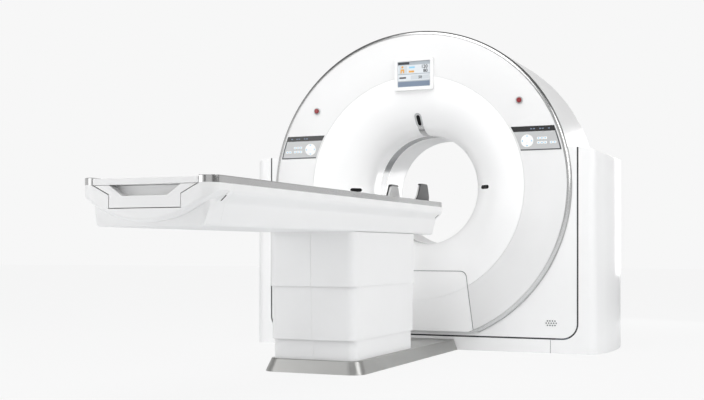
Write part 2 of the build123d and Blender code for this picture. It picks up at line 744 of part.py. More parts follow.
def make_bed_frame():
    """Extruded bed beam: two hollow side beams joined by a floor, with sliding ledges."""
    y0 = bed_y[0] + foot_length + fit_gap
    y1 = bed_y[1] - shell_wall - frame_gap
    beam = seen_from_front(bed_outline(shell_wall + frame_gap), y0, y1)
    beam -= seen_from_front(channel_outline(cap_gap, rail_z[0] + 1), y0 - 1, y1 + 1)
    x0, x1 = ledge_x
    beam -= both_sides(block(x0 - 1, x1, y0 - 1, y1 + 1, ledge_z, ledge_z + 20))
    for hx0, hx1, hz0, hz1 in beam_hollows:
        beam -= both_sides(block(hx0, hx1, y0 - 1, y1 + 1, hz0, hz1))
    return beam


def box_corners(inset):
    """What rounds off the two front corners of the foot cover's lower box."""
    radius = foot_corner - inset
    x, y = facet_bottom[0] - foot_corner, bed_y[0] + foot_setback + foot_corner
    corner = block(x, bed_half + 10, y - foot_corner - 1, y, bed_bottom[1] - 20, facet_bottom[1])
    return both_sides(corner - Pos(x, y, bed_bottom[1]) * Cylinder(radius, 400))


def make_foot_cover():
    """End moulding: an overhanging lip with a curved lower edge over a set-back box."""
    y0, y1 = bed_y[0], bed_y[0] + foot_length
    smile = outline(
        ThreePointArc((-bed_half, facet_top_z + 8), (0, smile_low_z), (bed_half, facet_top_z + 8)),
        Line((bed_half, facet_top_z + 8), (bed_half, rail_z[0])),
        Line((bed_half, rail_z[0]), (-bed_half, rail_z[0])),
        Line((-bed_half, rail_z[0]), (-bed_half, facet_top_z + 8)))
    lip = seen_from_front(smile, y0, y1)
    box = seen_from_front(bed_outline(0), y0 + foot_setback, y1) - box_corners(0)
    solid = lip + box
    plan = polygon((-bed_half, y0), (bed_half, y0), (bed_half, y1), (-bed_half, y1)).face()
    plan = plan.fillet_2d(foot_corner, [v for v in plan.vertices() if v.Y < y0 + 1])
    solid &= seen_from_above(plan, 690, rail_z[0])
    inner = seen_from_front(bed_outline(shell_wall), y0 + foot_setback + shell_wall, y1 + 1)
    inner -= block(-400, 400, y0, y0 + foot_setback + shell_wall + 30, facet_bottom[1], 900)
    inner -= box_corners(shell_wall)
    solid -= inner
    solid -= seen_from_front(channel_outline(cap_gap, rail_z[0] + 1), y0 - 1, y1 + 1)
    x0, x1 = ledge_x
    return solid - both_sides(block(x0 - 1, x1, y0 + cap_depth - cap_gap, y1 + 1, ledge_z, ledge_z + 20))


def make_side_rails():
    """Bright edge rail on each side, rounded outside, wrapping the foot corner."""
    low, high = rail_z
    face = outline(Line((rail_inner, low), (bed_half, low)),
                   Line((bed_half, low), (bed_half, high - 9)),
                   ThreePointArc((bed_half, high - 9), (bed_half - 2.6, high - 2.6), (bed_half - 9, high)),
                   Line((bed_half - 9, high), (rail_inner, high - 3)),
                   Line((rail_inner, high - 3), (rail_inner, low)))
    rail = seen_from_front(face, *bed_y)
    plan = polygon((rail_inner, bed_y[0]), (bed_half, bed_y[0]), (bed_half, bed_y[1]),
                   (rail_inner, bed_y[1])).face()
    plan = plan.fillet_2d(foot_corner, [v for v in plan.vertices() if v.Y < bed_y[0] + 1 and v.X > 290])
    plan = plan.fillet_2d(8, [v for v in plan.vertices() if v.Y > bed_y[1] - 1 and v.X > 290])
    return both_sides(rail & seen_from_above(plan, low - 1, high + 1))


def belly_z(x):
    """Height of the couch top's rounded underside at a distance from the middle."""
    radius = (cradle_half ** 2 + cradle_belly ** 2) / (2 * cradle_belly)
    return cradle_edge_z[0] - cradle_belly + radius - math.sqrt(radius ** 2 - x ** 2)


def belly_arc(x0, x1):
    """Part of the underside's line between two distances from the middle."""
    middle = (x0 + x1) / 2
    return ThreePointArc((x0, belly_z(x0)), (middle, belly_z(middle)), (x1, belly_z(x1)))


def make_cradle():
    """Couch top: a long dished shell on two runners, slotted at the head for the head rest."""
    low, high = cradle_edge_z
    y0, y1 = bed_y[0] + cap_depth, cradle_head_y
    half = cradle_half
    inner, outer = ledge_x[0] + 14, ledge_x[1] - 5
    foot = ledge_z + seat_gap
    face = outline(ThreePointArc((-half, high), (0, high - cradle_sag), (half, high)),
                   Line((half, high), (half, low)),
                   belly_arc(half, outer),
                   Line((outer, belly_z(outer)), (outer, foot)), Line((outer, foot), (inner, foot)),
                   Line((inner, foot), (inner, belly_z(inner))),
                   belly_arc(inner, -inner),
                   Line((-inner, belly_z(inner)), (-inner, foot)), Line((-inner, foot), (-outer, foot)),
                   Line((-outer, foot), (-outer, belly_z(outer))),
                   belly_arc(-outer, -half),
                   Line((-half, low), (-half, high)))
    top = seen_from_front(face, y0, y1)
    centre_x, centre_y = half - cradle_corner, y1 - cradle_corner
    corner = block(centre_x, half + 10, centre_y, y1 + 10, foot - 5, high + 5)
    corner -= Pos(centre_x, centre_y, 850) * Cylinder(cradle_corner + 2, 200)
    top -= both_sides(corner)
    wide, under, over = tongue
    return top - block(-wide - seat_gap, wide + seat_gap, y1 - tongue_reach - seat_gap, y1 + 1,
                       under - seat_gap, over + seat_gap)


def make_cradle_end_cap():
    """Foot-end cap of the couch top with its hand pull."""
    y0, y1 = bed_y[0], bed_y[0] + cap_depth
    cap = seen_from_front(channel_outline(0, cradle_edge_z[1]), y0, y1)
    pocket = mirrored([handle_top, handle_bottom])
    return cap - seen_from_front(pocket, y0 - 1, y0 + handle_depth)


def column_tube(which, z_range):
    """One of the three nested column covers: a rounded rectangular tube."""
    half_x, half_y = column_x[which], column_half_y[which]
    outer = RectangleRounded(2 * half_x, 2 * half_y, cover_corner)
    inner = RectangleRounded(2 * (half_x - cover_wall), 2 * (half_y - cover_wall), cover_corner - cover_wall)
    return seen_from_above(Pos(0, column_y) * (outer - inner), *z_range)


def lift_stage(which, closed):
    """One telescoping stage of the lift column."""
    step = which * (stage_wall + stage_gap)
    half_x, half_y = stage_half[0] - step, stage_half[1] - step
    z0, z1 = stage_z[which]
    tube = block(-half_x, half_x, column_y - half_y, column_y + half_y, z0, z1)
    inner_x, inner_y = half_x - stage_wall, half_y - stage_wall
    top = z1 - 12 if closed else z1 + 1
    return tube - block(-inner_x, inner_x, column_y - inner_y, column_y + inner_y, z0 - 1, top)


def make_base_frame():
    """Steel base under the skirt with the fixed lift stage welded on."""
    y0, y1 = base_y[0] + base_frame_inset, base_y[1] - 10
    top = base_top_z - base_wall - seat_gap
    floor = block(-base_frame_half, base_frame_half, y0, y1, 0, top)
    tray_half, tray_floor = tray
    floor -= block(-tray_half, tray_half, column_y + stage_half[1] + 50, y1 - 40, tray_floor, top + 1)
    frame = floor + lift_stage(0, False)
    ax, ay = table_anchor
    for sx in (-1, 1):
        for sy in (-1, 1):
            hole = Pos(sx * ax, column_y + sy * ay, 30) * Cylinder(anchor_radius, 100)
            frame -= hole
    return frame


def base_volume(inset):
    """The bevelled body of the base skirt, or the hollow inside it."""
    y0, y1 = base_y
    low = polygon((-base_half + inset, y0 + inset), (base_half - inset, y0 + inset),
                  (base_half - inset, y1 + 1), (-base_half + inset, y1 + 1)).face()
    low = low.fillet_2d(base_corner, [v for v in low.vertices() if v.Y < y0 + inset + 1])
    half_top = base_half - base_bevel - inset
    high = polygon((-half_top, y0 + base_bevel + inset), (half_top, y0 + base_bevel + inset),
                   (half_top, y1 + 1), (-half_top, y1 + 1)).face()
    high = high.fillet_2d(base_corner, [v for v in high.vertices() if v.Y < y0 + base_bevel + inset + 1])
    return loft([Pos(0, 0, -1 if inset else 0) * low, Pos(0, 0, base_top_z - inset) * high])


def make_base_skirt():
    """Bevelled metal skirt over the base, open where the lift column comes through."""
    skirt = base_volume(0) - base_volume(base_wall)
    skirt -= block(-300, 300, base_y[1], base_y[1] + 5, -5, 100)
    half_x, half_y = column_x[0] - 30, column_half_y[0] - 30
    return skirt - block(-half_x, half_x, column_y - half_y, column_y + half_y, 50, 80)


def trough(inset, y0, y1, top):
    """The U-shaped section of the head rest between two depths."""
    half = head_half - inset
    face = outline(Line((-half, top), (-half, head_centre_z)),
                   ThreePointArc((-half, head_centre_z), (0, head_centre_z - half), (half, head_centre_z)),
                   Line((half, head_centre_z), (half, top)), Line((half, top), (-half, top)))
    return seen_from_front(face, y0, y1)


def ear_profile(drop):
    """Side view of the head rest: low at both ends, two ears in the middle."""
    y0, y1 = head_y
    middle = (y0 + y1) / 2 + 12
    top = head_top_z - drop
    face = polygon((y0, 800), (y1, 800), (y1, ear_base_z - drop), (middle + ear_half, top),
                   (middle - ear_half, top), (y0, ear_base_z - drop)).face()
    upper = [v for v in face.vertices() if v.Y > top - 1]
    return seen_from_side(face.fillet_2d(24, upper), -200, 200)


def make_head_holder():
    """Dark trough with two ears and a tongue that slides into the couch top."""
    y0, y1 = head_y
    shell = trough(0, y0, y1, head_top_z) - trough(head_wall, y0 - 1, y1 + 1, head_top_z + 1)
    lip = trough(0, y0, y1, head_top_z) - trough(head_wall + head_pad_thick, y0 - 1, y1 + 1, head_top_z + 1)
    lip &= block(-200, 200, y0, y1, head_top_z - 10, head_top_z)
    shell = (shell + lip) & ear_profile(0)
    wide, under, over = tongue
    return shell + block(-wide, wide, cradle_head_y - tongue_reach, y1 - 60, under, over - 1) \
        + block(-wide, wide, cradle_head_y - tongue_reach, y0 + 20, under, over)


def make_head_pad():
    """Foam lining of the head rest."""
    y0, y1 = head_y
    clear = head_wall + seat_gap
    pad = trough(clear, y0 + 6, y1 - 6, head_top_z - 10 - seat_gap)
    pad -= trough(head_wall + head_pad_thick, y0 - 1, y1 + 1, head_top_z + 1)
    return pad & ear_profile(10 + seat_gap)


right_pod = make_side_pod()
right_panel = make_control_panel()

save(make_gantry_frame(), "gantry_frame")
save(make_front_ring_cover(), "front_ring_cover")
save(make_funnel_cover(), "funnel_cover")
save(make_service_panel(), "service_panel")
save(make_rim_trim(), "rim_trim")
save(make_drum_cover(), "drum_cover")
save(make_front_plate(), "front_plate")
save(make_plinth_covers(), "plinth_covers")
save(right_pod, "side_pod_right")
save(mirror(right_pod, about=Plane.YZ), "side_pod_left")
save(make_rear_cover(), "rear_cover")
save(ring(bore_radius, bore_radius + 3, -window_half, window_half), "scan_window")
save(make_display_housing(), "display_housing")
save(make_display_screen(), "display_screen")
save(make_positioning_windows(), "positioning_windows")
save(make_laser_trim(), "laser_trim")
save(make_main_bearing(), "main_bearing")
save(make_rotor_drum(), "rotor_drum")
save(make_xray_tube(), "xray_tube")
save(make_detector_array(), "detector_array")
save(make_rotor_power_units(), "rotor_power_units")
save(right_panel, "control_panel_right")
save(mirror(right_panel, about=Plane.YZ), "control_panel_left")

keys = {f"key_{n + 1}": make_key(x, z) for n, (x, z) in enumerate(key_places)}
keys["direction_pad"] = make_direction_pad()
keys["pad_centre_key"] = make_pad_centre_key()
for name, key in keys.items():
    save(key, f"{name}_right")
    save(mirror(key, about=Plane.YZ), f"{name}_left")
save(make_stop_button(1), "stop_button_right")
save(make_stop_button(-1), "stop_button_left")

save(make_base_frame(), "base_frame")
save(make_base_skirt(), "base_skirt")
save(column_tube(0, lower_cover_z), "column_cover_lower")
save(column_tube(1, middle_cover_z), "column_cover_middle")
save(column_tube(2, upper_cover_z), "column_cover_upper")
save(lift_stage(1, False), "lift_column_middle")
save(lift_stage(2, True), "lift_column_inner")
save(make_bed_frame(), "bed_frame")
save(make_bed_shell(), "bed_shell")
save(make_foot_cover(), "foot_cover")
save(make_side_rails(), "side_rails")
save(make_cradle(), "cradle")
save(make_cradle_end_cap(), "cradle_end_cap")
save(make_head_holder(), "head_holder")
save(make_head_pad(), "head_pad")
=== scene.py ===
"""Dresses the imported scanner: smooth covers, seams, screens and finishes, in the frame's metres."""
import bpy
import bmesh
import json
import math
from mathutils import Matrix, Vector

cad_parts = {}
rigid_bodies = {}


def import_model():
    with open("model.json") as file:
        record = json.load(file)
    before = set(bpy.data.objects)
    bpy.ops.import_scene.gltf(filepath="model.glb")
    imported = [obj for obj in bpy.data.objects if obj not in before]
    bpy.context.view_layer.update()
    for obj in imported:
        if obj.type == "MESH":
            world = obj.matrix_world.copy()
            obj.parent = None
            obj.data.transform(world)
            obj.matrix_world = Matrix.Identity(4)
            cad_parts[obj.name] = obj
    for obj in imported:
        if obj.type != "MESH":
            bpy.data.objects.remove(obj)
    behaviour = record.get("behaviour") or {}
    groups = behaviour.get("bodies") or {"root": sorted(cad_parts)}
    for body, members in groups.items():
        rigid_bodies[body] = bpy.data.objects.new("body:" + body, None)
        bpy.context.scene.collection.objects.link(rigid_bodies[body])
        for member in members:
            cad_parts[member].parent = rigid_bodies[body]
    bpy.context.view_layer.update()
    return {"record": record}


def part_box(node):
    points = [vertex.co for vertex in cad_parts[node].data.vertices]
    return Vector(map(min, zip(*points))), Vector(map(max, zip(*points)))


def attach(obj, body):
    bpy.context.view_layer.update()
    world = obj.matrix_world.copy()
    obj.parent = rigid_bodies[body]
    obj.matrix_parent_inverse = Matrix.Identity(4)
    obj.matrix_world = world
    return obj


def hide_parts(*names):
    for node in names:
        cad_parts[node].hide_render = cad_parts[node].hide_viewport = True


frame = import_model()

mm = 0.001
axis_z = 1000          # height of the scan axis, in millimetres like every size below
steps = 224            # segments round the big circles
bore = 350             # inner radius of the patient bore
funnel_rim = 697       # radius at which the bell-shaped funnel meets the flat ring
drum_radius = 978      # outside of the rim band and the drum
ring_y = -360          # face of the flat ring
plate_y = -338         # face of the front plate
rear_y = 452           # back of the machine
plate_half = 1007      # half width of the front and rear plates
shoulder_z = 1222      # top of the plates beside the drum
pod_in, pod_out = 1017, 1171   # inner and outer sides of a side pod
wall = 5               # thickness of the moulded covers
table_y = -1422        # middle of the lifting column
foot_y = -3308         # foot end of the bed
head_y = -713          # head end of the bed
joint_y = foot_y + 150  # where the foot cover meets the bed shell
bed_half = 300         # half width of the bed
couch_half = 235       # half width of the couch top
rail_z, bed_top = 862, 890     # underside and top of the side rails


# Tools

def tint(code):
    """An sRGB hex colour as the linear values that shaders take."""
    values = [int(code[i:i + 2], 16) / 255 for i in (0, 2, 4)]
    return tuple(v / 12.92 if v <= 0.04045 else ((v + 0.055) / 1.055) ** 2.4 for v in values) + (1,)


def add(tree, kind, **values):
    """A node with its settings; a socket given as a value is linked to the input of that name."""
    node = tree.nodes.new(kind)
    for key, value in values.items():
        if hasattr(node, key):
            setattr(node, key, value)
            continue
        socket = node.inputs[int(key[1:])] if key[0] == "i" and key[1:].isdigit() \
            else node.inputs[key.replace("_", " ")]
        if isinstance(value, bpy.types.NodeSocket):
            tree.links.new(value, socket)
        else:
            socket.default_value = value
    return node


def start(obj, name):
    """Name a fresh primitive and put its place into its mesh."""
    obj.name = name
    obj.data.name = name
    bpy.ops.object.transform_apply(location=True, rotation=True, scale=True)
    return obj


def only(obj):
    """Make this the one selected object."""
    bpy.ops.object.select_all(action="DESELECT")
    obj.select_set(True)
    bpy.context.view_layer.objects.active = obj


def editing(obj, on=True):
    """Go into edit mode on one object, with vertices to pick, or back out of it."""
    if on:
        only(obj)
    bpy.ops.object.mode_set(mode="EDIT" if on else "OBJECT")
    if on:
        bpy.ops.mesh.select_mode(type="VERT")


def choose(obj, test, what="VERT"):
    """In edit mode, select the vertices, edges or faces whose middle passes the test, in mm."""
    bpy.ops.mesh.select_mode(type=what)
    bpy.ops.mesh.select_all(action="DESELECT")
    mesh = bmesh.from_edit_mesh(obj.data)
    if what == "VERT":
        for v in mesh.verts:
            v.select = test(*(v.co / mm))
    elif what == "EDGE":
        for e in mesh.edges:
            if all(test(*(v.co / mm)) for v in e.verts):
                e.select = True
    else:
        for f in mesh.faces:
            f.select = test(*(f.calc_center_median() / mm), f.normal)
    mesh.select_flush_mode()
    bmesh.update_edit_mesh(obj.data)


def tidy(obj, angle=30):
    """Close doubles, turn faces outwards and smooth all but the real edges."""
    editing(obj)
    bpy.ops.mesh.select_all(action="SELECT")
    bpy.ops.mesh.remove_doubles(threshold=0.00002)
    bpy.ops.mesh.normals_make_consistent(inside=False)
    editing(obj, False)
    bpy.ops.object.shade_smooth_by_angle(angle=math.radians(angle))
    return obj


def box(name, x0, x1, y0, y1, z0, z1):
    """A block between two corners, the start of a flat-sided piece."""
    bpy.ops.object.select_all(action="DESELECT")
    bpy.ops.mesh.primitive_cube_add(size=1, location=((x0 + x1) / 2 * mm, (y0 + y1) / 2 * mm,
                                                      (z0 + z1) / 2 * mm))
    obj = bpy.context.object
    obj.scale = (x1 - x0) * mm, (y1 - y0) * mm, (z1 - z0) * mm
    return start(obj, name)


def soften(obj, test, width, segments=3):
    """Round the edges whose two ends pass the test."""
    editing(obj)
    choose(obj, test, "EDGE")
    bpy.ops.mesh.bevel(offset=width * mm, segments=segments, affect="EDGES", clamp_overlap=True)
    editing(obj, False)
    return obj


def bevelled(obj, width, segments=3, angle=35):
    """Round every real edge by a modifier that is applied at once."""
    only(obj)
    edge = obj.modifiers.new("edge", "BEVEL")
    edge.width = width * mm
    edge.segments = segments
    edge.limit_method = "ANGLE"
    edge.angle_limit = math.radians(angle)
    edge.use_clamp_overlap = True
    bpy.ops.object.modifier_apply(modifier="edge")
    return obj


def join_cut(obj, other, operation="DIFFERENCE", keep=False):
    """Cut with, keep inside, or weld on another piece."""
    only(obj)
    cut = obj.modifiers.new("cut", "BOOLEAN")
    cut.operation = operation
    cut.solver = "EXACT"
    cut.object = other
    bpy.ops.object.modifier_apply(modifier="cut")
    if not keep:
        bpy.data.objects.remove(other)
    return obj


def lathe(name, profile, segments=steps, centre=(0, axis_z)):
    """Turn a closed profile of (radius, y) about an axis along the bore, ring after ring."""
    cx, cz = centre[0] * mm, centre[1] * mm
    radius, y = profile[0]
    bpy.ops.object.select_all(action="DESELECT")
    bpy.ops.mesh.primitive_circle_add(vertices=segments, radius=radius * mm,
                                      location=(cx, y * mm, cz), rotation=(math.pi / 2, 0, 0))
    obj = start(bpy.context.object, name)
    editing(obj)
    bpy.ops.mesh.select_all(action="SELECT")
    for (r0, y0), (r1, y1) in zip(profile, profile[1:] + profile[:1]):
        bpy.ops.mesh.extrude_region_move(TRANSFORM_OT_translate={"value": (0, (y1 - y0) * mm, 0)})
        bpy.ops.transform.resize(value=(r1 / r0, 1, r1 / r0), center_override=(cx, y1 * mm, cz))
    editing(obj, False)
    return tidy(obj)


def drawn(name, corners, plane, a, b):
    """Draw an outline point by point and pull it out from a to b; plane is xz, yz or xy."""
    place = {"xz": lambda u, v, w: (u, w, v), "yz": lambda u, v, w: (w, u, v),
             "xy": lambda u, v, w: (u, v, w)}[plane]
    spots = [Vector(place(u, v, a)) * mm for u, v in corners]
    bpy.ops.object.select_all(action="DESELECT")
    bpy.ops.mesh.primitive_plane_add(size=0.001, location=spots[0])
    obj = start(bpy.context.object, name)
    editing(obj)
    bpy.ops.mesh.merge(type="CENTER")
    for p, q in zip(spots, spots[1:] + spots[:1]):
        bpy.ops.mesh.extrude_region_move(TRANSFORM_OT_translate={"value": q - p})
    bpy.ops.mesh.select_all(action="SELECT")
    bpy.ops.mesh.remove_doubles(threshold=0.00001)
    bpy.ops.mesh.select_all(action="SELECT")
    bpy.ops.mesh.edge_face_add()
    bpy.ops.mesh.select_all(action="SELECT")
    pull = Vector(place(0, 0, b - a)) * mm
    bpy.ops.mesh.extrude_region_move(TRANSFORM_OT_translate={"value": pull})
    editing(obj, False)
    return tidy(obj)


def mirror_copy(obj, name):
    """The same piece on the other side, with its own mesh."""
    only(obj)
    bpy.ops.object.duplicate()
    twin = bpy.context.object
    twin.name = name
    twin.data.name = name
    editing(twin)
    bpy.ops.mesh.select_all(action="SELECT")
    bpy.ops.transform.resize(value=(-1, 1, 1), center_override=(0, 0, 0))
    bpy.ops.mesh.normals_make_consistent(inside=False)
    editing(twin, False)
    bpy.ops.object.shade_smooth_by_angle(angle=math.radians(30))
    return twin


def arc(cx, cy, radius, a0, a1, count):
    """Points on a circle between two angles in degrees."""
    return [(cx + radius * math.cos(math.radians(a0 + (a1 - a0) * i / count)),
             cy + radius * math.sin(math.radians(a0 + (a1 - a0) * i / count)))
            for i in range(count + 1)]


def rounded(x0, x1, y0, y1, radii, count=8):
    """A rectangle's outline with corner radii given from the low left, turning left."""
    spots = []
    for (cx, cy, sx, sy), radius, a in zip(((x0, y0, 1, 1), (x1, y0, -1, 1), (x1, y1, -1, -1),
                                           (x0, y1, 1, -1)), radii, (180, 270, 0, 90)):
        spots += arc(cx + sx * radius, cy + sy * radius, radius, a, a + 90, count) if radius \
            else [(cx, cy)]
    return spots


def curved(corners, radii, count=6):
    """An outline with its corners rounded by the given radii; none where a radius is 0."""
    spots = []
    for i, (corner, radius) in enumerate(zip(corners, radii)):
        here = Vector(corner)
        if not radius:
            spots.append(tuple(here))
            continue
        before = (Vector(corners[i - 1]) - here).normalized()
        after = (Vector(corners[(i + 1) % len(corners)]) - here).normalized()
        half = math.acos(max(-1, min(1, before.dot(after)))) / 2
        reach = radius / math.tan(half)
        middle = here + (before + after).normalized() * (radius / math.sin(half))
        first, last = here + before * reach - middle, here + after * reach - middle
        for n in range(count + 1):
            step = first.lerp(last, n / count).normalized() * radius
            spots.append(tuple(middle + step))
    return spots


def quarter(cx, cy, rx, ry, count=16):
    """A quarter of an ellipse as (radius, y), from its near side round to its far side."""
    turns = [math.radians(90 * i / count) for i in range(count + 1)]
    return [(cx - rx * math.cos(a), cy + ry * math.sin(a)) for a in turns]


def both(half):
    """Close an outline that is given for its right half, from top to bottom."""
    return half + [(-x, z) for x, z in reversed(half)]


def dress(obj, material, body="root", stands_for=()):
    """Give a finished piece its material, the body it moves with and the nodes it stands for."""
    obj.data.materials.clear()
    obj.data.materials.append(material)
    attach(obj, body)
    if stands_for:
        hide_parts(*([stands_for] if isinstance(stands_for, str) else stands_for))
    return obj


# Finishes

def moulded(name, colour, roughness=0.38, grain=1.6, depth=0.04, cloud=0.015, coat=0.0):
    """Moulded plastic or enamel: a faint cloud in the colour and a fine grain in the gloss."""
    material = bpy.data.materials.new(name)
    material.use_nodes = True
    tree = material.node_tree
    tree.nodes.clear()
    where = add(tree, "ShaderNodeTexCoord").outputs["Object"]
    broad = add(tree, "ShaderNodeTexNoise", Vector=where, Scale=2.2, Detail=3.0)
    base = tint(colour)
    dark = tuple(v * (1 - 3 * cloud) for v in base[:3]) + (1,)
    mix = add(tree, "ShaderNodeMix", data_type="RGBA", i0=broad.outputs[0], i6=dark, i7=base)
    fine = add(tree, "ShaderNodeTexNoise", Vector=where, Scale=1 / (grain * mm), Detail=2.0)
    gloss = add(tree, "ShaderNodeMapRange", Value=fine.outputs[0], To_Min=roughness - 0.04,
                To_Max=roughness + 0.05)
    bump = add(tree, "ShaderNodeBump", Height=fine.outputs[0], Strength=depth, Distance=0.0004)
    shader = add(tree, "ShaderNodeBsdfPrincipled", Base_Color=mix.outputs[2],
                 Roughness=gloss.outputs[0], Normal=bump.outputs[0], Coat_Weight=coat,
                 Coat_Roughness=0.12)
    add(tree, "ShaderNodeOutputMaterial", Surface=shader.outputs[0])
    return material


def metal(name, colour, roughness=0.28, stretch=(1, 60, 1), pitch=0.9):
    """Bare or plated metal with fine drawn lines along one direction."""
    material = bpy.data.materials.new(name)
    material.use_nodes = True
    tree = material.node_tree
    tree.nodes.clear()
    where = add(tree, "ShaderNodeTexCoord").outputs["Object"]
    lines = add(tree, "ShaderNodeMapping", Vector=where,
                Scale=tuple(1 / (pitch * mm) / s for s in stretch))
    fine = add(tree, "ShaderNodeTexNoise", Vector=lines.outputs[0], Scale=1.0, Detail=3.0)
    broad = add(tree, "ShaderNodeTexNoise", Vector=where, Scale=5.0, Detail=3.0)
    base = tint(colour)
    dark = tuple(v * 0.86 for v in base[:3]) + (1,)
    mix = add(tree, "ShaderNodeMix", data_type="RGBA", i0=broad.outputs[0], i6=dark, i7=base)
    gloss = add(tree, "ShaderNodeMapRange", Value=fine.outputs[0], To_Min=roughness - 0.07,
                To_Max=roughness + 0.09)
    bump = add(tree, "ShaderNodeBump", Height=fine.outputs[0], Strength=0.05, Distance=0.0003)
    shader = add(tree, "ShaderNodeBsdfPrincipled", Base_Color=mix.outputs[2], Metallic=1.0,
                 Roughness=gloss.outputs[0], Normal=bump.outputs[0])
    add(tree, "ShaderNodeOutputMaterial", Surface=shader.outputs[0])
    return material


# Painted polyurethane covers: smooth and softly glossy, white with a breath of grey.
cover_white = moulded("painted_cover_white", "F1F1F1", 0.30, 1.4, 0.03, 0.008, 0.35)
# The flat ring is the same paint made a shade greyer as painted shade, and the inner cone the same
# paint made a shade brighter as painted light against the shade in the bore.
ring_white_shaded = moulded("ring_paint_painted_shade", "E9E9E9", 0.30, 1.4, 0.03, 0.008, 0.3)
cone_white_lightened = moulded("cone_paint_painted_light", "FBFBFB", 0.30, 1.4, 0.03, 0.006, 0.35)
# Table covers are moulded ABS, a little flatter than the gantry's paint.
table_white = moulded("moulded_abs_white", "F1F1F1", 0.38, 1.8, 0.05, 0.010, 0.15)
# Anodised aluminium band: soft grey with lines drawn round the ring.
band_metal = metal("anodised_band", "D6D6D6", 0.26)
# Polished anodised rail: shows a bright and a dark streak along its length.
rail_metal = metal("polished_rail", "BEBEBE", 0.13, (1, 80, 1), 0.7)
# Painted steel skirt, silver with a fine metallic fleck.
base_silver = metal("silver_lacquer_base", "BEBEBC", 0.36, (1, 1, 1), 0.8)
# Smoked polycarbonate: a clear grey, glassy.
smoked_band = moulded("smoked_polycarbonate", "737577", 0.16, 2.0, 0.02, 0.06, 0.6)
# Black acrylic: near black, with only a weak gloss on its curve.
black_lens = moulded("black_acrylic_lens", "08080A", 0.12, 2.0, 0.0, 0.0)
black_lens.node_tree.nodes["Principled BSDF"].inputs["Specular IOR Level"].default_value = 0.2
# Painted shade in the gaps between covers: a matt dark sheet where the gaps lie in shadow.
painted_gap_shade = moulded("painted_gap_shade", "3A3A3B", 0.7, 0.8, 0.1)
# Vacuum-formed ABS of the head rest: black with a fine leathery grain.
holder_black = moulded("black_shell_abs", "17181A", 0.42, 0.9, 0.15, 0.05)
# Closed-cell foam: matt, with a pebbled skin.
foam_grey = moulded("closed_cell_foam", "CACACA", 0.85, 1.1, 0.35, 0.03)
# Laminate over carbon fibre: pale and smooth, so that it wipes clean.
couch_top = moulded("couch_laminate", "E6E6E6", 0.34, 0.9, 0.06, 0.01, 0.2)
# Printed polyester film of the control panels, satin grey.
panel_film = moulded("printed_film_grey", "C0C1C2", 0.34, 0.8, 0.05, 0.01, 0.3)
# Silicone keys: soft white, almost without gloss.
key_white = moulded("key_silicone_white", "F5F5F5", 0.45, 0.7, 0.06, 0.01)
# Moulded ABS frame of the display, satin.
bezel_white = moulded("bezel_abs_white", "EEEEEE", 0.34, 1.0, 0.04, 0.01, 0.2)
# Glossy moulded red of the stop buttons.
stop_red = moulded("stop_button_red", "8E1D24", 0.30, 0.8, 0.03, 0.05, 0.4)
# Inside the covers: coated steel frame, ground bearing rings, sand-cast aluminium rotor,
# coated sheet-metal unit housings and extruded table beams.
frame_steel = metal("powder_coated_frame", "6F7479", 0.5, (1, 1, 1), 1.0)
bearing_steel = metal("ground_bearing_steel", "A9ADB2", 0.22, (1, 30, 1), 0.5)
casting = metal("cast_aluminium", "9EA2A6", 0.48, (1, 1, 1), 1.6)
unit_grey = moulded("unit_housing_grey", "5C6268", 0.5, 1.2, 0.12, 0.05)
beam_aluminium = metal("extruded_aluminium", "B4B8BC", 0.34, (1, 70, 1), 0.8)

# Screen colours: matt inks behind glass, each a plain tone.
inks = {name: moulded("screen_" + name, code, 0.35, 1.0, 0.0, 0.02) for name, code in (
    ("grey", "AEB6BD"), ("pale", "DDE2E6"), ("dark", "3A3D42"), ("orange", "E3A94E"),
    ("cell", "CDD3D8"), ("slate", "77869A"), ("sky", "8FCBE8"))}
# Glossy black film of the status bars, and the charcoal line printed along two edges.
status_black = moulded("status_bar_film", "0E0F11", 0.22, 1.0, 0.0, 0.0, 0.4)
edge_ink = moulded("charcoal_edge_ink", "55575A", 0.5, 1.0, 0.02, 0.0)
# Moulded grey collar of each stop switch and surround of the laser slot.
collar_grey = moulded("collar_grey_abs", "BEBFC0", 0.34, 0.8, 0.05, 0.01, 0.1)
# Satin chrome strip that runs down the cone from the laser slot.
strip_metal = metal("satin_chrome_strip", "C9C9C9", 0.22, (1, 40, 1), 0.8)

# The laser trim's slot takes the brighter copy of the cover paint: painted light.
slot_finish = {
    "gantry_white": cover_white, "trim_metal": band_metal, "scan_window": smoked_band,
    "display_frame": bezel_white, "display_glass": black_lens, "dark_lens": black_lens,
    "laser_trim": cone_white_lightened, "bearing_steel": bearing_steel, "frame_steel": frame_steel,
    "panel_grey": panel_film, "base_metal": base_silver, "table_white": table_white,
    "rotor_casting": casting, "unit_grey": unit_grey, "beam_aluminium": beam_aluminium,
    "rail_metal": rail_metal, "couch_top": couch_top, "holder_black": holder_black,
    "foam_grey": foam_grey, "key_white": key_white, "stop_red": stop_red}
for part in frame["record"]["subparts"]:
    node = bpy.data.objects[part["node"]]
    node.data.materials.clear()
    node.data.materials.append(slot_finish[part["material_slot"]])


# Ring, funnel and band

def funnel_line(inset, count=36):
    """Visible line of the bell-shaped funnel as (radius, y), from the ring in to the bore."""
    long_r, long_y = funnel_rim - bore - inset, 224 - inset
    turns = [math.radians(90 * i / count) for i in range(count + 1)]
    return [(funnel_rim - long_r * math.sin(a), ring_y + 224 - long_y * math.cos(a))
            for a in turns]


def service_prism(name, grow, y0=-380, y1=-60):
    """The service panel's outline, grown by a gap, as a cutting block."""
    half, top, low = 330 + grow, 481 + grow, 90
    slant = (382 - 330) / (481 - 93)
    foot = half + slant * (top - low)
    return drawn(name, curved([(-foot, low), (foot, low), (half, top), (-half, top)],
                              (0, 0, 42, 42), 8), "xz", y0, y1)


